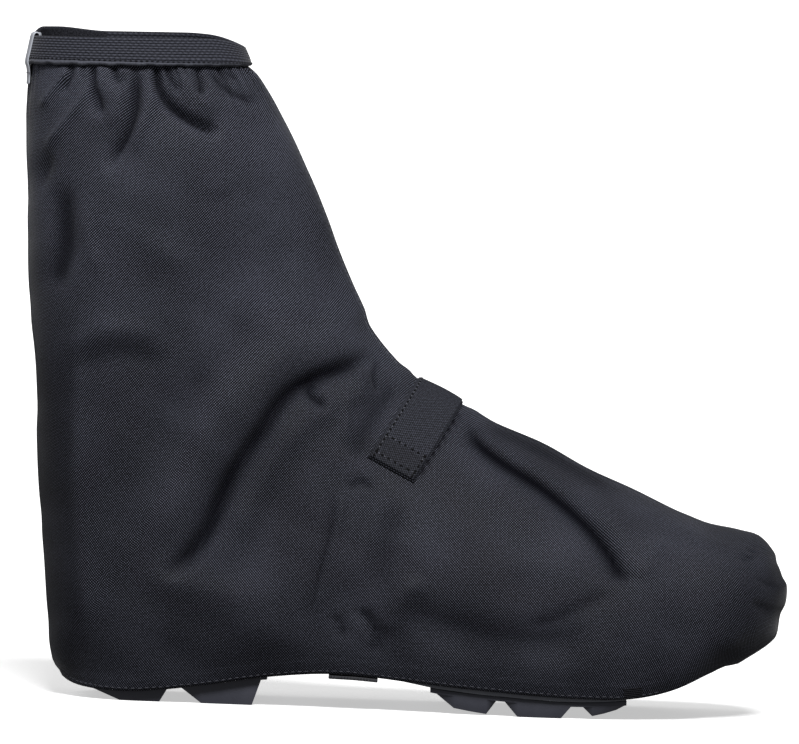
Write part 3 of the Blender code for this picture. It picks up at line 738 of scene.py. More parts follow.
def flat_panel(panel):
    """Flat places of a panel's points in millimetres, near those in the side view."""
    rows, columns = panel.shape[:2]
    net_rows = np.linspace(0, rows - 1, NET_ROWS).round().astype(int)
    net_columns = np.linspace(0, columns - 1, NET_COLUMNS).round().astype(int)
    net = panel[net_rows][:, net_columns]
    view, middle = net[:, :, [0, 2]], NET_COLUMNS // 2
    row_steps = np.linalg.norm(np.diff(net[:, middle], axis=0), axis=1)
    headings = np.diff(view[:, middle], axis=0)
    headings *= (row_steps / np.linalg.norm(headings, axis=1))[:, None]
    middles = np.vstack([[0.0, 0.0], np.cumsum(headings, axis=0)])
    middles += view[NET_ROWS // 2, middle] - middles[NET_ROWS // 2]
    upward = unit(view[:, -1] - view[:, 0])
    rolled = np.cumsum(np.linalg.norm(np.diff(net, axis=1), axis=2), axis=1)
    rolled = np.hstack([np.zeros((NET_ROWS, 1)), rolled])
    rolled -= rolled[:, [middle]]
    flat, drift = middles[:, None] + rolled[:, :, None] * upward[:, None], 0.0
    whole, head, tail = slice(None), slice(None, -1), slice(1, None)
    springs = [((whole, head), (whole, tail)), ((head, whole), (tail, whole))]
    springs += [((head, head), (tail, tail)), ((head, tail), (tail, head))]
    rest = [np.linalg.norm(net[end] - net[start], axis=2) for start, end in springs]
    for _ in range(SETTLE_STEPS):
        pull = np.zeros_like(flat)
        for (start, end), length in zip(springs, rest):
            step = flat[end] - flat[start]
            stretched = np.linalg.norm(step, axis=2) + 1e-9
            share = SPRING * (1 - length / stretched)[:, :, None] * step
            pull[start] += share
            pull[end] -= share
        drift = SWING * drift + pull
        flat = flat + drift
    # Where the strip along the front seam folded over, it is rolled out straight again.
    across, down = np.diff(flat, axis=1)[:-1], np.diff(flat, axis=0)[:, :-1]
    turned = across[..., 0] * down[..., 1] - across[..., 1] * down[..., 0]
    folded = (turned * np.sign(np.median(turned)) < 0)[:, EDGE_STRIP:].any(axis=1)
    for row in np.nonzero(np.append(folded, False) | np.append(False, folded))[0]:
        heading = unit(flat[row, EDGE_STRIP] - flat[row, EDGE_STRIP - 1])
        beyond = rolled[row, EDGE_STRIP:] - rolled[row, EDGE_STRIP]
        flat[row, EDGE_STRIP:] = flat[row, EDGE_STRIP] + beyond[:, None] * heading
    fine_rows = []
    for column, index in enumerate(net_columns):
        stops = length_along(panel[:, index])
        fine_rows.append(read_at(stops, stops[net_rows], flat[:, column]))
    fine_rows = np.array(fine_rows).transpose(1, 0, 2)
    return np.array([read_at(np.arange(columns), net_columns, line) for line in fine_rows])


sheet_cut = {
    LATERAL: flat_panel(sheet[:, : RIDGE + 1]),
    MEDIAL: flat_panel(sheet[:, : RIDGE - 1 : -1]),
}
for side, flat in sheet_cut.items():
    print("panel", side, "spans", np.ptp(flat.reshape(-1, 2), axis=0).round(1), "mm laid flat")

# %% [markdown]
# The grid of points becomes one mesh. Points that the panels share are made once, so the
# seams are closed, and rows of faces from hem to hem make the sling below the toe.

# %% Join the panels
PANEL_OFFSET = 500.0
point_of = np.full((ROWS, COLUMNS), -1, int)
points, faces, corner_cut = [], [], []
for row in range(ROWS):
    for column in range(COLUMNS):
        if row == 0 and column > RIDGE:
            point_of[row, column] = point_of[row, 2 * (COLUMNS - 1 - column)]
            continue
        if column == COLUMNS - 1 and row_numbers[row] > ROW["heel_end"] - 1e-6:
            point_of[row, column] = point_of[row, 0]
            continue
        point_of[row, column] = len(points)
        points.append(sheet[row, column])
points = np.array(points)


def cut_place(row, column, panel):
    """Flat place of a grid point on one side's panel, in metres."""
    step = column if panel == LATERAL else COLUMNS - 1 - column
    x, z = sheet_cut[panel][row, step]
    return ((x if panel == LATERAL else PANEL_OFFSET - x) * MM, z * MM)


for row in range(ROWS - 1):
    for column in range(COLUMNS - 1):
        panel = LATERAL if column < RIDGE else MEDIAL
        places = [(row, column), (row, column + 1), (row + 1, column + 1), (row + 1, column)]
        face = [point_of[spot] for spot in places]
        cuts = [cut_place(*spot, panel) for spot in places]
        if row == 0 and panel == MEDIAL:
            # The coarser inner panel takes in the outer panel's points between its own.
            face.insert(1, point_of[0, 2 * (COLUMNS - 1 - column) - 1])
            cuts.insert(1, tuple(np.mean(cuts[:2], axis=0)))
        faces.append(face)
        corner_cut += cuts
sling_rows = int(np.sum(row_numbers <= ROW["sling_edge"] + 1e-6))
sling_ids, sling_points = [], []
for row in range(1, sling_rows):
    start, end = sheet[row, -1], sheet[row, 0]
    line = [point_of[row, -1]]
    for step in range(1, SLING_COLUMNS):
        line.append(len(points) + len(sling_points))
        sling_points.append(start + (end - start) * step / SLING_COLUMNS)
    sling_ids.append([*line, point_of[row, 0]])
points = np.vstack([points, sling_points])
for low, high in zip(sling_ids, sling_ids[1:]):
    for column in range(SLING_COLUMNS):
        face = [low[column], low[column + 1], high[column + 1], high[column]]
        faces.append(face)
        corner_cut += [tuple(points[index][:2] * MM) for index in face]
nose_fan = [*sling_ids[0], point_of[0, 0]]
faces.append(nose_fan)
corner_cut += [tuple(points[index][:2] * MM) for index in nose_fan]
print("shell points", len(points), "faces", len(faces))

# %% [markdown]
# Before the cloth is creased, each point notes where it lies: its outward direction, its
# row, how far round the leg it is and how far it is from the hem.

# %% Measure the plain sheet
STRAP_WIDTH = 25.0
STRAP_TOP, STRAP_LEAN = (159.5, 131.2), math.radians(31.0)
STRAP_OUTER_REACH, STRAP_INNER_REACH = 37.5, 72.0
COLLAR_Z = 264.0


def sheet_normals(vertices):
    """Outward normals of the sheet with these points."""
    mesh = bpy.data.meshes.new("sheet_probe")
    mesh.from_pydata(vertices, [], faces)
    normals = np.zeros(len(vertices) * 3, np.float32)
    mesh.vertex_normals.foreach_get("vector", normals)
    bpy.data.meshes.remove(mesh)
    return normals.reshape(-1, 3).astype(float)


normals = sheet_normals(points)
grid_row, grid_turn = np.zeros(len(points)), np.zeros(len(points))
outer_turn = np.linspace(0, 0.5, RIDGE + 1)
inner_turn = np.linspace(0.5, 1, INNER_COLUMNS + 1)[1:]
FAR_OFF = 60.0
hem_gap = np.full(len(points), FAR_OFF)
heel_corner = skin_points(SECTIONS[ROW["heel_end"]], LATERAL, np.array(0.0))
for row in range(ROWS):
    grid_row[point_of[row]] = row_numbers[row]
    grid_turn[point_of[row]] = np.concatenate([outer_turn, inner_turn])
    if row_numbers[row] <= ROW["heel_curve"]:
        up_outer = length_along(sheet[row])
        past_hem = row_numbers[row] > ROW["heel_end"]
        past_hem = past_hem * np.linalg.norm(sheet[row, 0] - heel_corner)
        hem_gap[point_of[row]] = np.minimum(up_outer, up_outer[-1] - up_outer) + past_hem
hem_gap[np.unique(sling_ids)] = 0.0
middle_y = np.vectorize(axis_y)(points[:, 0])
side_of = np.where(points[:, 1] < middle_y, LATERAL, MEDIAL)
print("outward at the toe", normals[point_of[0, RIDGE]].round(2))

# %% [markdown]
# The sum of the creases has a few limits. Nothing swells under the strap or the elastic,
# which press the cloth flat, and the hem keeps its line where the sole sits inside it. A
# gentle unevenness all over keeps the cloth from looking moulded.

# %% Sum the creases
# The table is drawn as seen from a little above, where near points are seen lower.
SIGHT_DROP, SIGHT_PLANE = math.tan(CAMERA_RISE), 20.0
side_view = points[:, [0, 2]] - np.outer(np.abs(points[:, 1]) - SIGHT_PLANE, [0.0, SIGHT_DROP])
# One side's creases pass into the other's over a strip along the seams.
SIDE_BLEND = 16.0
outer_share = eased(0.5 - (points[:, 1] - middle_y) / SIDE_BLEND)
HIDDEN_SHIFT = [7.0, -5.0]
lift, lit = np.zeros(len(points)), np.ones(len(points))
for crease in CREASES + GATHERS:
    near = crease_profile(crease, side_view)
    # The hidden side gets a weaker copy, shifted where the fold belongs to the outer side.
    if crease.side == BOTH:
        far = 0.8 * near
    else:
        far = 0.5 * crease_profile(crease, side_view + HIDDEN_SHIFT)
    share = outer_share * near + (1 - outer_share) * far
    lift += crease.lift * share
    # Each crease paints shade into the lit attribute, darkest along its run.
    lit *= 1 - crease.shade * share**1.5

DRIFTS = [(61, 0.9, 0.4, 0.4), (43, -0.5, 1.9, 0.3), (31, 0.3, 4.1, 0.2), (19, 1.1, 2.2, 0.1)]
for pitch, slope, phase, height in DRIFTS:
    run = points[:, 0] * math.cos(slope) + points[:, 2] * math.sin(slope) + 0.35 * points[:, 1]
    sway = 0.8 * np.sin(2 * np.pi * points[:, 2] / (pitch * 2.3) + phase)
    lift += height * np.sin(2 * np.pi * run / pitch + phase + sway)

# Small pleats under the elastic: sharp valleys, round backs, each with its own length.
PLEATS, PLEAT_HEIGHT = 58, 1.5
below_band = np.maximum(COLLAR_Z - points[:, 2], 0.0)
turn = grid_turn + 0.006 * np.sin(2 * np.pi * 3 * grid_turn + 0.7)
turn += 0.004 * np.sin(2 * np.pi * 8 * grid_turn + 2.1)
pleat = np.abs(np.sin(np.pi * PLEATS * turn)) - 0.6
pleat_length = 8.0 + 4.0 * np.sin(2 * np.pi * 5 * grid_turn + 1.0)
pleat_length += 3.0 * np.sin(2 * np.pi * 11 * grid_turn)
pleat_share = 0.5 + 0.6 * np.sin(45.9 * grid_turn + 0.5) + 0.4 * np.sin(79.8 * grid_turn + 2)
pleat_fade = np.exp(-((below_band / pleat_length) ** 1.4)) * np.clip(pleat_share, 0.15, 1)
lift += PLEAT_HEIGHT * pleat * pleat_fade
# Painted shade in the pleats' valleys, strongest near the elastic.
lit *= 1 - 0.75 * np.clip(0.15 - pleat, 0.0, 0.75) / 0.75 * pleat_fade

along = np.array([math.sin(STRAP_LEAN), math.cos(STRAP_LEAN)])
over = np.array([math.cos(STRAP_LEAN), -math.sin(STRAP_LEAN)])
from_top = points[:, [0, 2]] - np.array(STRAP_TOP)
across_strap, down_strap = np.abs(from_top @ over), -(from_top @ along)
reach = np.where(side_of == LATERAL, STRAP_OUTER_REACH, STRAP_INNER_REACH)
under_strap = eased((STRAP_WIDTH / 2 + 5 - across_strap) / 5)
under_strap *= eased((reach + 5 - down_strap) / 5)
lift = np.where(lift > 0, lift * (1 - under_strap), lift * (1 - 0.6 * under_strap))
under_tape = eased((13.0 - np.abs(points[:, 1])) / 3) * eased((points[:, 2] - 249) / 4)
under_tape *= points[:, 0] < 20
lift = np.where(lift > 0, lift * (1 - under_tape), lift)
lift *= eased((ROW["band_low"] - 0.02 - grid_row) / 0.12)
at_toe = eased((ROW["toe"] - grid_row) / 1.2)
lift *= np.maximum(eased((hem_gap - 1.0) / 16.0), at_toe)
print("lift from", round(lift.min(), 2), "to", round(lift.max(), 2), "mm")

# %% [markdown]
# The hem is folded up once and sewn, so it stands a little proud with a soft edge. The
# panels meet in a sewn seam at the front of the shin and down the back, each a low welt.

# %% Hem and seams
HEM_FOLD, HEM_STAND = 6.5, 0.2
SEAM_STAND, SEAM_HALF = 0.5, 1.6
hem_edge = eased((HEM_FOLD + 0.8 - hem_gap) / 1.2)
hem_edge *= eased((grid_row - ROW["toe_root"] - 0.1) / 0.5)
hem_turn = 2 * np.pi * points[:, 0]
hem_pucker = 0.22 * np.sin(hem_turn / 7.3) * np.sin(hem_turn / 19.0 + 1.0)
lift += hem_edge * (HEM_STAND + hem_pucker) * (hem_gap > 0)
seam_gap = np.full(len(points), FAR_OFF)
for row in range(ROWS):
    walked = length_along(sheet[row])
    gap = np.abs(walked - walked[RIDGE])
    if row_numbers[row] > ROW["heel_end"]:
        gap = np.minimum(gap, np.minimum(walked, walked[-1] - walked))
    seam_gap[point_of[row]] = np.minimum(gap, seam_gap[point_of[row]])
seam_fade = eased((grid_row - ROW["toe"]) / 1.5)
seam_fade *= eased((ROW["band_low"] - 0.1 - grid_row) / 0.3)
lift += SEAM_STAND * np.exp(-((seam_gap / SEAM_HALF) ** 2)) * seam_fade * (1 - under_strap)
draped = points + normals * lift[:, None]

# The chin of the toe is rolled under softly: its points are drawn between their neighbours.
CHIN_PASSES = 12
edge_ends = np.array([pair for face in faces for pair in zip(face, face[1:] + face[:1])])
chin = eased((points[:, 0] - 286) / 10) * eased((48 - points[:, 2]) / 8)
edge_ends = edge_ends[np.max(chin[edge_ends], axis=1) > 0]
both_ways = np.vstack([edge_ends, edge_ends[:, ::-1]])
for _ in range(CHIN_PASSES):
    total, count = np.zeros_like(draped), np.zeros((len(draped), 1))
    np.add.at(total, both_ways[:, 0], draped[both_ways[:, 1]])
    np.add.at(count, both_ways[:, 0], 1.0)
    draped += 0.5 * chin[:, None] * (total / np.maximum(count, 1.0) - draped)
print("hem points", int((hem_edge > 0.5).sum()), "seam points", int((seam_gap < SEAM_HALF).sum()))

# %% [markdown]
# A sheet has no thickness. Solidify grows it inwards by the wall of the solid, so that the
# outside stays where it was drawn, and gives the inside its own finish.

# %% Give the cloth its wall
shell_sheet = bpy.data.meshes.new("shell_sheet")
shell_sheet.from_pydata(draped * MM + SHIFT, [], faces)
write_uv(shell_sheet, corner_cut)
# The painted shade of the creases and pleats goes with the cloth as its lit attribute.
lit_layer = shell_sheet.attributes.new("lit", "FLOAT", "POINT")
lit_layer.data.foreach_set("value", lit.astype(np.float32))
for finish in (shell_finish, lining_finish):
    shell_sheet.materials.append(finish)
sheet_object = scratch_object("shell_sheet", shell_sheet)
# The wall thins under the gathers, so that the lining can't break through a tight fold.
wall_share = sheet_object.vertex_groups.new(name="wall_share")
for index, share in enumerate(1 - 0.75 * eased((grid_row - ROW["shaft_top"] - 0.4) / 0.5)):
    wall_share.add([index], share, "REPLACE")
wall = sheet_object.modifiers.new("wall", "SOLIDIFY")
wall.thickness, wall.offset = WALL * MM, -1.0
wall.material_offset = 1
wall.vertex_group = "wall_share"
shell_mesh = plain_mesh(sheet_object, "shell_cloth")
shell_mesh.materials.clear()
shell_finishes = [shell_finish, lining_finish]
finish_piece("shell_cloth", shell_mesh, shell_finishes, ["upper"])
draped_normals = sheet_normals(draped)

# %% [markdown]
# ## Elastic collar
# The collar is a flat knitted elastic with ten ribs, sewn on so that it clasps the top
# edge. Its cross-section is drawn once, ribs, rolled lower edge and all, and carried round
# the ring of the sections. The knit's short dashes are finer than a mesh should go, so
# they are left to the finish, which reads the ring unrolled flat.

# %% Elastic finish
RIB_PITCH, DASH_PITCH = 1.15, 2.4
elastic_finish, tree, shader = new_finish(
    "ribbed_elastic", 0.75, Specular_IOR_Level=0.15, Sheen_Weight=0.25, Sheen_Roughness=0.35
)
cut = place(tree, uv=True)
flat_x, flat_y = split(tree, cut)
rib_number = math_node(tree, "FLOOR", math_node(tree, "DIVIDE", flat_y, RIB_PITCH * MM))
shifted = plus(tree, flat_x, times(tree, rib_number, 0.5 * DASH_PITCH * MM))
dash = wave(tree, shifted, DASH_PITCH)
# Painted shade: the colour darkens in the grooves between the ribs; the same wave gives their relief.
groove = math_node(tree, "ABSOLUTE", wave(tree, flat_y, 2 * RIB_PITCH))
fuzz = noise(tree, cut, 1400.0)
tone = times(tree, groove, spread(tree, dash, -1, 1, 0.45, 1.0))
tone = plus(tree, tone, noise_range(tree, fuzz, -0.2, 0.2))
rolled = spread(tree, flat_y, 0.0011, 0.0014, 1.0, 0.0)
ribs = colour_mix(tree, tone, (0.006, 0.006, 0.009), (0.076, 0.080, 0.104))
pale = colour_mix(tree, fuzz, (0.040, 0.042, 0.053), (0.11, 0.115, 0.142))
both = add_node(tree, "ShaderNodeMix", {0: rolled, 6: ribs, 7: pale}, data_type="RGBA")
tree.links.new(both.outputs[2], shader.inputs["Base Color"])
bump(tree, shader, plus(tree, tone, fuzz), 0.12)

fleece_finish, tree, shader = new_finish("collar_fleece", 0.9, Specular_IOR_Level=0.1)
fuzz = noise(tree, place(tree, uv=True), 1500.0, detail=3.0)
paint(tree, shader, noise_range(tree, fuzz, 0, 1), (0.006, 0.006, 0.008), (0.050, 0.052, 0.064))
bump(tree, shader, fuzz, 0.3)
print("finishes", elastic_finish.name, fleece_finish.name)

# %% Ring of the collar
BAND_THICK, BAND_HEIGHT = 1.6, 11.4
BAND_HALF_COLUMNS = 130
FLEECE_ROWS, SEWN_ROW, SEWN_LEVEL = 18, 9, 8


def collar_frame(heights, loop_of):
    """Points at heights above the collar's lower edge, and the middle of its top."""
    rows = np.linspace(ROW["gather_top"], ROW["band_top"], 41)
    loops = np.array([loop_of(section_at(row)) for row in rows])
    rises = np.linalg.norm(np.diff(loops, axis=0), axis=2).mean(axis=1)
    rises = np.concatenate([[0.0], np.cumsum(rises)])
    wanted = heights + np.interp(ROW["band_low"], rows, rises)
    spots = np.stack([read_at(wanted, rises, line) for line in loops.transpose(1, 0, 2)], axis=1)
    upward = unit(loops[-1] - loops[-4])
    spots += np.maximum(wanted - rises[-1], 0.0)[:, None, None] * upward
    return spots, loops[-1].mean(axis=0)


def stand_on(heights, stands, levels, base, normal):
    """Points at heights on a surface, each moved out by how far it stands off."""
    return read_at(heights, levels, base) + read_at(heights, levels, normal) * stands[:, None]


def grid_normals(grid, closed, inside):
    """Normals of a grid of points, all pointing away from a line of points inside."""
    up = np.gradient(grid, axis=0)
    if closed:
        around = np.roll(grid, -1, axis=1) - np.roll(grid, 1, axis=1)
    else:
        around = np.gradient(grid, axis=1)
    normal = unit(np.cross(around, up))
    outward = np.sum(normal * (grid - inside) * [1, 1, 0], axis=2).mean()
    return normal if outward > 0 else -normal


def collar_loop(section):
    """The closed ring of a section at even steps of the cloth."""
    outer = even_arm(section, LATERAL, BAND_HALF_COLUMNS)
    inner = even_arm(section, MEDIAL, BAND_HALF_COLUMNS)
    return np.vstack([outer, inner[-2:0:-1]])


def band_profile():
    """Cross-section of the elastic as heights and stand-offs, once round from its lower edge."""
    face = []
    for height in np.linspace(1.4, BAND_HEIGHT - 0.4, 64):
        rib = 0.26 * abs(math.sin(math.pi * height / RIB_PITCH)) ** 0.6
        face.append((height, GAP + BAND_THICK - 0.26 + rib))
    bead = [(-0.1, 0.5), (-0.35, 1.0), (-0.3, 1.6), (0.0, 2.0)]
    bead += [(0.4, 2.12), (0.8, 1.95), (1.1, 1.65)]
    top = [(BAND_HEIGHT + 0.1, 1.7), (BAND_HEIGHT + 0.35, 1.2), (BAND_HEIGHT + 0.25, 0.6)]
    inner = [(height, GAP + 0.05) for height in np.linspace(BAND_HEIGHT, 0.3, 16)]
    return np.array(bead + face + top + inner)


profile = band_profile()
levels = np.linspace(-2.0, BAND_HEIGHT + 4.5, 47)
base, hub = collar_frame(levels, collar_loop)
outward = grid_normals(base, True, hub)
ring_columns = base.shape[1]
ring_turn = np.linspace(0, 2 * np.pi, ring_columns, endpoint=False)
ripple = 0.16 * np.sin(23 * ring_turn) + 0.12 * np.sin(41 * ring_turn + 1.3)
# The front of the ring slopes down, and its hidden side stands higher at the back.
to_front = np.abs(np.arange(ring_columns) - BAND_HALF_COLUMNS) / BAND_HALF_COLUMNS
taller = 1 - 0.34 * eased((0.24 - to_front) / 0.24)
hidden = np.arange(ring_columns) > BAND_HALF_COLUMNS
rim_rise = 0.16 * eased((to_front - 0.08) / 0.25) + 0.15 * eased((to_front - 0.6) / 0.2)
taller += np.where(hidden, rim_rise * eased((1.0 - to_front) / 0.12), 0.0)
band_grid = np.zeros((len(profile), ring_columns, 3))
for column in range(ring_columns):
    low_edge = np.clip((2.0 - profile[:, 0]) / 2.0, 0.0, 1.0)
    heights = profile[:, 0] * np.where(profile[:, 0] > 0, taller[column], 1.0)
    heights += ripple[column] * low_edge
    surface = base[:, column], outward[:, column]
    band_grid[:, column] = stand_on(heights, profile[:, 1], levels, *surface)
ring_walk = length_along(np.vstack([base[SEWN_LEVEL], base[SEWN_LEVEL][:1]]))
band_faces, band_cut = [], []
for low in range(len(profile)):
    high = (low + 1) % len(profile)
    for column in range(ring_columns):
        after = (column + 1) % ring_columns
        corners = [(low, column), (low, after), (high, after), (high, column)]
        band_faces.append([row * ring_columns + spot for row, spot in corners])
        near, far = ring_walk[column], ring_walk[column + 1]
        places = zip((near, far, far, near), corners)
        band_cut += [(walk * MM, profile[row, 0] * MM) for walk, (row, _) in places]
band_mesh = bpy.data.meshes.new("collar_elastic")
band_mesh.from_pydata(band_grid.reshape(-1, 3) * MM + SHIFT, [], band_faces)
write_uv(band_mesh, band_cut)
inner_rows = np.repeat(np.arange(len(profile)) >= len(profile) - FLEECE_ROWS, ring_columns)
fleecy = inner_rows & np.tile(to_front > 0.6, len(profile))
band_mesh.polygons.foreach_set("material_index", fleecy.astype(np.int32))
band_finishes = [elastic_finish, fleece_finish]
finish_piece("collar_elastic", band_mesh, band_finishes, ["collar_band"])


# %% [markdown]
# ## Webbing and tape
# Straps and tape are flat strips laid on a surface. One helper wraps a strip on any grid of
# points: levels give its edge from the underside up, each with how far it is inset and how
# high it stands, so a groove in the levels shows as two layers sewn on each other.

# %% Strip helper
Level = namedtuple("Level", "inset stand")


def wrapped_strip(name, grid, normal, width, levels, steps):
    """A closed strip on a grid whose rows run along it and whose columns run across it."""
    rows, columns = grid.shape[:2]
    walked = length_along(grid[:, columns // 2])
    along_steps, across_steps = steps

    def spot(along, across, stand):
        row = np.interp(along, walked, np.arange(rows))
        column = (across / width + 0.5) * (columns - 1)
        low_row, low_column = min(int(row), rows - 2), min(max(int(column), 0), columns - 2)
        a, b = row - low_row, column - low_column
        patch = (grid + stand * normal)[low_row : low_row + 2, low_column : low_column + 2]
        near, far = patch[:, 0] * (1 - b) + patch[:, 1] * b
        return near * (1 - a) + far * a

    def places(inset):
        across = np.linspace(-width / 2 + inset, width / 2 - inset, across_steps + 1)
        run = np.linspace(inset, walked[-1] - inset, along_steps + 1)
        return [[(walk, step) for step in across] for walk in run]

    def rim(table):
        up, down = [row[-1] for row in table[1:-1]], [row[0] for row in table[-2:0:-1]]
        return table[0] + up + table[-1][::-1] + down

    points, cuts, loops, sheets = [], [], [], []
    for index, level in enumerate(levels):
        table = places(level.inset)
        whole = index in (0, len(levels) - 1)
        ids = []
        for row in table if whole else [rim(table)]:
            line = []
            for walk, step in row:
                line.append(len(points))
                points.append(spot(walk, step, level.stand))
                cuts.append((step * MM, walk * MM))
            ids.append(line)
        if whole:
            sheets.append(ids)
            loops.append(rim(ids))
        else:
            loops.append(ids[0])
    faces = []
    for sheet_ids, turned_over in zip(sheets, (True, False)):
        for low, high in zip(sheet_ids, sheet_ids[1:]):
            for column in range(across_steps):
                face = [low[column], low[column + 1], high[column + 1], high[column]]
                faces.append(face[::-1] if turned_over else face)
    for low, high in zip(loops, loops[1:]):
        for index in range(len(low)):
            after = (index + 1) % len(low)
            faces.append([low[index], low[after], high[after], high[index]])
    mesh = bpy.data.meshes.new(name)
    mesh.from_pydata(np.array(points) * MM + SHIFT, [], faces)
    write_uv(mesh, [cuts[index] for face in faces for index in face])
    builder = bmesh.new()
    builder.from_mesh(mesh)
    bmesh.ops.recalc_face_normals(builder, faces=builder.faces)
    builder.to_mesh(mesh)
    builder.free()
    return mesh


print("strip helper ready")

# %% Webbing finish
WEB_ACROSS, WEB_ALONG = 1.25, 1.05
webbing_finish, tree, shader = new_finish("strap_webbing", 0.7, Specular_IOR_Level=0.15)
cut = place(tree, uv=True)
flat_x, flat_y = split(tree, cut)
pick = times(tree, wave(tree, flat_x, WEB_ACROSS), wave(tree, flat_y, WEB_ALONG))
fuzz = noise_range(tree, noise(tree, cut, 1100.0), -0.35, 0.35)
tone = plus(tree, spread(tree, pick, -0.8, 0.8, -0.4, 1.0), fuzz)
# The folded end, sewn down twice, is pressed flatter and looks darker.
tone = times(tree, tone, spread(tree, flat_y, 0.0112, 0.0124, 0.62, 1.0))
paint(tree, shader, tone, (0.002, 0.002, 0.003), (0.066, 0.070, 0.092))
bump(tree, shader, tone, 0.14)
print("finish", webbing_finish.name)


# %% [markdown]
# The instep strap lies in a slanting plane over the ridge of the foot. Its line is found by
# cutting the sections with that plane, on the outer side down to its sewn end and on the
# inner side down towards the hem. Webbing is stiff, so it bridges the creases below it.

# %% Instep strap
def half_width_at(x, z, side):
    """Half width of the upper at a point of its side view, nothing above the ridge."""
    low, high = float(ROW["ball"]), float(ROW["throat"])
    for _ in range(30):
        section = section_at((low + high) / 2)
        run, rise = section.ridge_x - section.base_x, section.ridge_z - section.base_z
        if run * (z - section.base_z) - rise * (x - section.base_x) > 0:
            low = (low + high) / 2
        else:
            high = (low + high) / 2
    share = ((x - section.base_x) * run + (z - section.base_z) * rise) / (run * run + rise * rise)
    return float(half_width(section, side, np.array(share)))


def strap_line(across, points_along):
    """A cross-section of the instep in the strap's slanting plane, as evenly spaced points."""
    top = np.array(STRAP_TOP) + over * across
    low, high = -20.0, 20.0
    for _ in range(30):
        crest = (low + high) / 2
        if half_width_at(*(top - along * crest), LATERAL) == 0:
            low = crest
        else:
            high = crest
    line = []
    for side, reach in ((LATERAL, STRAP_OUTER_REACH), (MEDIAL, STRAP_INNER_REACH)):
        arm = []
        for step in range(31):
            end = reach - 0.8 - 0.07 * across if side == LATERAL else reach
            x, z = top - along * (high + (end - high) * (step / 30) ** 2)
            arm.append((x, side * half_width_at(x, z, side), z))
        line = arm[::-1] if side == LATERAL else line + arm[1:]
    return even_line(np.array(line), points_along)


STRAP_ALONG, STRAP_ACROSS, STRAP_LINES = 120, 20, 7
SEEN_WIDTH, SEEN_OFFSET = 22.0, -0.6
strap_lines = np.linspace(-SEEN_WIDTH / 2, SEEN_WIDTH / 2, STRAP_LINES) + SEEN_OFFSET
strap_grid = np.stack([strap_line(across, 81) for across in strap_lines], axis=1)
# Over the ridge the webbing arches from edge to edge, and its front edge stands off.
strap_turn = np.linspace(-1, 1, STRAP_LINES)
strap_arch = 1.2 + 0.5 * strap_turn - 1.3 * strap_turn**2
strap_grid[:, :, 2] += strap_arch * eased((strap_grid[:, :, 2] - 110) / 18)
strap_hub = np.array([155.0, 0.0, 70.0])
strap_normal = unit(np.cross(np.gradient(strap_grid, axis=0), np.gradient(strap_grid, axis=1)))
if np.sum(strap_normal * (strap_grid - strap_hub)) < 0:
    strap_normal = -strap_normal
under_layer = [Level(0.2, 0.1), Level(0.0, 0.2), Level(0.0, 0.55), Level(0.15, 0.7), Level(0.9, 0.75)]
upper_layer = [Level(0.9, 0.85), Level(0.7, 0.95), Level(0.7, 1.2), Level(0.9, 1.4), Level(1.3, 1.5)]
strap_size = SEEN_WIDTH, under_layer + upper_layer, (STRAP_ALONG, STRAP_ACROSS)
strap_mesh = wrapped_strip("instep_webbing", strap_grid, strap_normal, *strap_size)
finish_piece("instep_webbing", strap_mesh, [webbing_finish], ["instep_strap"])

# %% [markdown]
# The pale tab at the back is reflective tape. It is sewn low on the seam, climbs over the
# elastic and folds down inside it, so its strip follows a path of heights and stand-offs.

# %% Reflective tab
TAB_WIDTH, TAB_COLUMNS = 20.0, 9
BEAD = 0.55
tape_finish, tree, shader = new_finish("silver_tape", 0.34, Coat_Weight=0.25, Coat_Roughness=0.3)
cut = place(tree, uv=True)
flat_x, flat_y = split(tree, cut)
beads = times(tree, wave(tree, flat_x, BEAD), wave(tree, flat_y, BEAD))
cloud = noise_range(tree, noise(tree, cut, 240.0, detail=3.0), -0.25, 0.25)
tone = plus(tree, spread(tree, beads, -1, 1, 0.25, 0.75), cloud)
paint(tree, shader, tone, (0.48, 0.50, 0.56), (0.64, 0.67, 0.74))
bump(tree, shader, tone, 0.04)

# Heights above the lower edge of the elastic, and how far the tape stands off there.
TAPE_PATH = [
    (-9.0, 0.6), (-5.0, 0.8), (-2.0, 1.4), (-0.4, 2.1), (1.0, 2.15), (4.0, 2.0),
    (10.0, 2.0), (11.8, 1.85), (12.4, 1.1), (12.0, 0.2), (11.0, -0.1), (6.0, -0.15),
]


def back_line(section):
    """The back of a section between the tab's two edges."""
    line = []
    for y in np.linspace(-TAB_WIDTH / 2, TAB_WIDTH / 2, TAB_COLUMNS):
        side = LATERAL if y < 0 else MEDIAL
        narrow = 1 - (abs(y) / widest(section, side)) ** HEM_POWER
        share = wide_share(section, side) * (1 - narrow ** (1 / HEM_POWER))
        line.append(skin_points(section, side, np.array(share)))
    return np.array(line)


levels = np.linspace(-12.0, 14.0, 53)
back_base, _ = collar_frame(levels, back_line)
back_normal = grid_normals(back_base, False, hub)
tape_run = smooth_run(TAPE_PATH, steps=5)
tape_grid = np.stack(
    [
        stand_on(*tape_run.T, levels, back_base[:, column], back_normal[:, column])
        for column in range(TAB_COLUMNS)
    ],
    axis=1,
)
tape_normal = unit(np.cross(np.gradient(tape_grid, axis=1), np.gradient(tape_grid, axis=0)))
if tape_normal[0, TAB_COLUMNS // 2, 0] > 0:
    tape_normal = -tape_normal
tape_layer = [Level(0.1, 0.0), Level(0.0, 0.1), Level(0.0, 0.4), Level(0.15, 0.5)]
tape_size = TAB_WIDTH, tape_layer, (44, 16)
tape_mesh = wrapped_strip("reflective_tape", tape_grid, tape_normal, *tape_size)
finish_piece("reflective_tape", tape_mesh, [tape_finish], ["reflective_tab"])

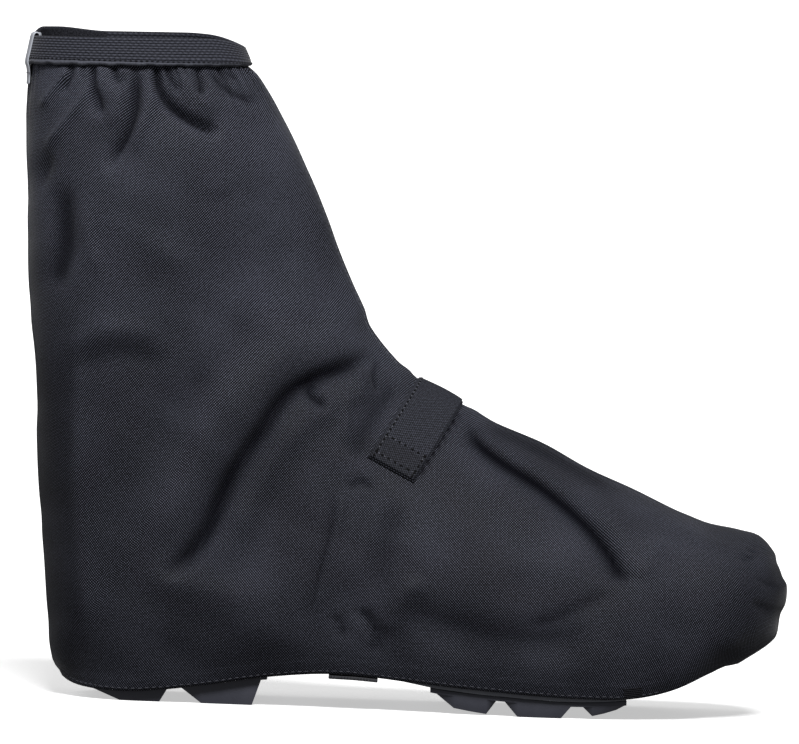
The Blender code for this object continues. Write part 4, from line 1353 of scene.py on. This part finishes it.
# %% [markdown]
# ## Sole
# The rubber pads come from their solids, because lugs are cut shapes with real sizes. A
# copy is merged and its edges are rounded, as a mould rounds them. The plate keeps its
# solid and gets a moulded nylon finish.

# %% Rubber, plate and arch strap finishes
def moulded_finish(name, roughness, grain, depth, marks, dark, light, shine):
    """A moulded face with fine grain, and marks that change its colour and its shine."""
    finish, tree, shader = new_finish(name, roughness)
    spot = place(tree)
    mark = noise(tree, spot, *marks)
    paint(tree, shader, mark, dark, light)
    tree.links.new(noise_range(tree, mark, *shine), shader.inputs["Roughness"])
    bump(tree, shader, noise(tree, spot, grain, detail=3.0), depth)
    return finish


dust, scuffs = (70.0, 4.0, 0.6), (90.0, 5.0, 0.65)
rubber_tones = (0.041, 0.043, 0.057), (0.070, 0.072, 0.094), (0.42, 0.62)
plate_tones = (0.16, 0.17, 0.20), (0.24, 0.25, 0.29), (0.36, 0.52)
rubber_finish = moulded_finish("lug_rubber", 0.5, 1500.0, 0.06, dust, *rubber_tones)
plate_finish = moulded_finish("plate_moulding", 0.42, 900.0, 0.04, scuffs, *plate_tones)

arch_finish, tree, shader = new_finish("arch_webbing", 0.72)
flat_x, flat_y = split(tree, place(tree))
pick = times(tree, wave(tree, flat_x, WEB_ACROSS), wave(tree, flat_y, WEB_ALONG))
paint(tree, shader, spread(tree, pick, -1, 1, 0, 1), (0.006, 0.006, 0.008), (0.032, 0.033, 0.040))
bump(tree, shader, pick, 0.1)
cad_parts["sole_plate"].material_slots[0].material = plate_finish
print("finishes", rubber_finish.name, plate_finish.name, arch_finish.name)

# %% Treads and arch strap
FLAT_ANGLE, EDGE_ANGLE = math.radians(0.6), math.radians(20)
MouldedPiece = namedtuple("MouldedPiece", "name node slot finish rounding")
MOULDED_PIECES = [
    MouldedPiece("heel_lugs", "heel_tread", "tread_rubber", rubber_finish, 0.8),
    MouldedPiece("forefoot_lugs", "forefoot_tread", "tread_rubber", rubber_finish, 0.7),
    MouldedPiece("arch_webbing", "arch_strap", "webbing", arch_finish, 0.45),
]
for moulded in MOULDED_PIECES:
    builder = bmesh.new()
    builder.from_mesh(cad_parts[moulded.node].data)
    bmesh.ops.remove_doubles(builder, verts=builder.verts, dist=1e-6)
    whole = {"verts": builder.verts, "edges": builder.edges}
    bmesh.ops.dissolve_limit(builder, angle_limit=FLAT_ANGLE, **whole)
    copy = bpy.data.meshes.new(moulded.name)
    builder.to_mesh(copy)
    builder.free()
    source = scratch_object(moulded.name + "_source", copy)
    rounding = source.modifiers.new("rounding", "BEVEL")
    rounding.width, rounding.segments = moulded.rounding * MM, 3
    rounding.limit_method, rounding.angle_limit = "ANGLE", EDGE_ANGLE
    rounding.harden_normals = False
    mesh = plain_mesh(source, moulded.name)
    mesh.materials.clear()
    finish_piece(moulded.name, mesh, [moulded.finish], [moulded.node])

# %% [markdown]
# ## Stitches
# A row of stitches is one short thread loop repeated along a path. Geometry Nodes does
# that: the path is cut into even steps, a rounded stitch is set on every step, turned
# along the path and away from the cloth, and the copies are made real at the end.

# %% Thread finishes
def thread_finish(name, dark, light):
    finish, tree, shader = new_finish(name, 0.7, Specular_IOR_Level=0.1)
    twist = noise(tree, place(tree), 2600.0, detail=1.0)
    paint(tree, shader, twist, dark, light)
    bump(tree, shader, twist, 0.06)
    return finish


pale_thread = thread_finish("pale_thread", (0.07, 0.072, 0.085), (0.16, 0.165, 0.19))
grey_thread = thread_finish("grey_thread", (0.035, 0.036, 0.044), (0.09, 0.092, 0.11))
# Painted shade: near black stitches stand for the shade inside the needle holes.
needle_hole_shade = thread_finish("needle_hole_shade", (0.001, 0.001, 0.001), (0.003, 0.003, 0.004))
dark_thread = thread_finish("dark_thread", (0.005, 0.005, 0.006), (0.022, 0.022, 0.027))
print("threads", pale_thread.name, dark_thread.name)


# %% Stitch tree
def stitch_tree():
    """A node group that sews stitches along the edges of a mesh."""
    group = bpy.data.node_groups.new("stitch_row", "GeometryNodeTree")
    sockets = group.interface
    sockets.new_socket("Path", in_out="INPUT", socket_type="NodeSocketGeometry")
    for name in ("Pitch", "Length", "Width", "Height"):
        sockets.new_socket(name, in_out="INPUT", socket_type="NodeSocketFloat")
    sockets.new_socket("Thread", in_out="INPUT", socket_type="NodeSocketMaterial")
    sockets.new_socket("Stitches", in_out="OUTPUT", socket_type="NodeSocketGeometry")
    start = add_node(group, "NodeGroupInput").outputs

    def step(kind, inputs, **settings):
        return add_node(group, kind, inputs, **settings).outputs[0]

    turn = "FunctionNodeAlignRotationToVector"
    curve = step("GeometryNodeMeshToCurve", {"Mesh": start["Path"]})
    even = {"Curve": curve, "Length": start["Pitch"]}
    stops = step("GeometryNodeResampleCurve", even, mode="LENGTH")
    sizes = {0: start["Length"], 1: start["Width"], 2: start["Height"]}
    size = step("ShaderNodeCombineXYZ", sizes)
    loop = step("GeometryNodeMeshUVSphere", {"Segments": 8, "Rings": 5, "Radius": 0.5})
    stitch = step("GeometryNodeTransform", {"Geometry": loop, "Scale": size})
    away = step("GeometryNodeInputNamedAttribute", {"Name": "away"}, data_type="FLOAT_VECTOR")
    turned = step(turn, {"Vector": step("GeometryNodeInputTangent", {})}, axis="X")
    tilted = step(turn, {"Rotation": turned, "Vector": away}, axis="Z", pivot_axis="X")
    sewn = {"Points": stops, "Instance": stitch, "Rotation": tilted}
    real = step("GeometryNodeRealizeInstances", {0: step("GeometryNodeInstanceOnPoints", sewn)})
    dyed = step("GeometryNodeSetMaterial", {"Geometry": real, "Material": start["Thread"]})
    add_node(group, "NodeGroupOutput", {"Stitches": dyed})
    return group


stitch_group = stitch_tree()
stitch_inputs = {
    item.name: item.identifier for item in stitch_group.interface.items_tree if item.in_out == "INPUT"
}
Sewing = namedtuple("Sewing", "pitch length width height thread")
print("stitch inputs", sorted(stitch_inputs))


def sew(name, paths, sewing):
    """Sews stitches along paths of points and outward directions, in millimetres."""
    points, edges, away = [], [], []
    for path, directions in paths:
        first = len(points)
        points += list(path)
        away += list(directions)
        edges += [(first + index, first + index + 1) for index in range(len(path) - 1)]
    mesh = bpy.data.meshes.new(name + "_path")
    mesh.from_pydata(np.array(points) * MM + SHIFT, edges, [])
    stored = mesh.attributes.new("away", "FLOAT_VECTOR", "POINT")
    stored.data.foreach_set("vector", np.array(away, np.float32).ravel())
    source = scratch_object(name + "_path", mesh)
    rows = source.modifiers.new("stitches", "NODES")
    rows.node_group = stitch_group
    for key, value in zip(("Pitch", "Length", "Width", "Height"), sewing[:4]):
        rows[stitch_inputs[key]] = value * MM
    rows[stitch_inputs["Thread"]] = sewing.thread
    sewn = plain_mesh(source, name)
    sewn.materials.clear()
    return finish_piece(name, sewn, [sewing.thread])


# %% Where the shell is sewn
draped_grid = draped[point_of]
normal_grid = draped_normals[point_of]


def shell_path(rows, side, gap, stand=0.0):
    """A line on the draped shell, at a gap from the hem or, if negative, from the front seam."""
    path, directions = [], []
    for row in rows:
        arm = slice(0, RIDGE + 1) if side == LATERAL else slice(COLUMNS - 1, RIDGE - 1, -1)
        line, turned = draped_grid[row, arm], normal_grid[row, arm]
        walked = length_along(line)
        reach = gap if gap >= 0 else walked[-1] + gap
        away = read_at(reach, walked, turned)
        path.append(read_at(reach, walked, line) + away * stand)
        directions.append(away)
    return np.array(path), np.array(directions)


def rows_of(first, last):
    """Rows of the sheet between two row numbers."""
    return np.nonzero((row_numbers >= first) & (row_numbers <= last))[0]


HEM_STITCH_UP, SEAM_STITCH_OFF = 1.5, 2.9
hem_rows = rows_of(ROW["toe_root"] + 0.35, ROW["heel_end"] - 0.05)
outer_hem, outer_away = shell_path(hem_rows, LATERAL, HEM_STITCH_UP)
inner_hem, inner_away = shell_path(hem_rows, MEDIAL, HEM_STITCH_UP)
hem_line = np.vstack([outer_hem, inner_hem[::-1]])
hem_away = np.vstack([outer_away, inner_away[::-1]])
HEM_SEWING = Sewing(2.9, 1.8, 0.5, 0.4, grey_thread)
sew("hem_stitches", [(hem_line, hem_away)], HEM_SEWING)

front_rows = rows_of(ROW["throat"] - 1.2, ROW["band_low"] - 0.25)
front_paths = [shell_path(front_rows, side, -SEAM_STITCH_OFF) for side in (LATERAL, MEDIAL)]
SEAM_SEWING = Sewing(2.6, 2.3, 0.5, 0.4, pale_thread)
sew("front_seam_stitches", front_paths, SEAM_SEWING)

# %% [markdown]
# Where the sling below the toe starts, the hem is held by a bar tack on each side: a block
# of dense rows of dark thread, because the pull on the cloth is strongest there.

# %% Bar tacks on the hem
TACK_X = 244.0
TACK_LENGTH, TACK_HEIGHT = 6.5, 5.0
TACK_SEWING = Sewing(1.0, 1.5, 0.6, 0.5, dark_thread)
tack_paths = []
for side in (LATERAL, MEDIAL):
    tack_gap = np.abs(sheet[: sling_rows + 6, 0, 0] - TACK_X)
    near = np.nonzero(tack_gap < TACK_LENGTH / 2 + 1.5)[0]
    for up_hem in np.linspace(0.8, TACK_HEIGHT, 6):
        tack_paths.append(shell_path(near, side, up_hem, stand=0.1))
sew("hem_tacks", tack_paths, TACK_SEWING)

# %% [markdown]
# On webbing the needle leaves holes, and their shade is painted as small dark stitches, with
# short pale bits of thread between them. Both rows use the same runs, the second half a stitch on.

# %% Strap and tape stitches
STRAP_STITCH_IN, HALF_STITCH = 2.0, 1.35
strap_walk = length_along(strap_grid[:, STRAP_LINES // 2])


def strap_spot(along_strap, across, stand):
    """A point at a height on the strap and its outward direction."""
    row = int(np.argmin(np.abs(strap_walk - along_strap)))
    column = (across / SEEN_WIDTH + 0.5) * (STRAP_LINES - 1)
    low = min(int(column), STRAP_LINES - 2)
    share = column - low
    spot = strap_grid[row, low] * (1 - share) + strap_grid[row, low + 1] * share
    away = strap_normal[row, low] * (1 - share) + strap_normal[row, low + 1] * share
    return spot + away * stand, away


def strap_path(stops, stand):
    """A path through places on the strap, with its outward directions."""
    spots = [strap_spot(*stop, stand) for stop in stops]
    return np.array([spot for spot, _ in spots]), np.array([away for _, away in spots])


def half_stitch_on(run):
    """The same run moved on by half a stitch."""
    (walk, across), (next_walk, _) = run[:2]
    on, over_by = (0.0, HALF_STITCH) if walk == next_walk else (HALF_STITCH, 0.0)
    return [(walk + on, across + over_by) for walk, across in run[:-2]]


edge = SEEN_WIDTH / 2 - STRAP_STITCH_IN
strap_end = strap_walk[-1]
SEAM_RUNS = [
    [(walk, -edge) for walk in np.arange(2.5, strap_end - 2, 1.0)],
    [(walk, edge) for walk in np.arange(2.5, 12.5, 1.0)],
    [(strap_end - walk, edge) for walk in np.arange(2.5, 12.5, 1.0)],
]
for walk in (3.0, 11.8, strap_end - 3.0, strap_end - 11.8):
    SEAM_RUNS.append([(walk, across) for across in np.linspace(-edge, edge, 21)])
NEEDLE_SEWING = Sewing(2.7, 1.6, 1.0, 0.5, needle_hole_shade)
STRAP_SEWING = Sewing(2.7, 1.0, 0.5, 0.5, pale_thread)
sew("strap_needle_holes", [strap_path(run, 1.5) for run in SEAM_RUNS], NEEDLE_SEWING)
between = [strap_path(half_stitch_on(run), 1.45) for run in SEAM_RUNS]
sew("strap_stitches", between, STRAP_SEWING)

TAPE_SEWING, TAPE_ROW = Sewing(2.4, 1.6, 0.5, 0.4, pale_thread), 6
tape_away = tape_normal[TAPE_ROW]
sew("tape_stitches", [(tape_grid[TAPE_ROW] + 0.5 * tape_away, tape_away)], TAPE_SEWING)

ring_path = np.vstack([band_grid[SEWN_ROW], band_grid[SEWN_ROW][:1]])
ring_away = np.vstack([outward[SEWN_LEVEL], outward[SEWN_LEVEL][:1]])
BAND_SEWING = Sewing(2.2, 1.3, 0.5, 0.4, dark_thread)
sew("collar_stitches", [(ring_path, ring_away)], BAND_SEWING)
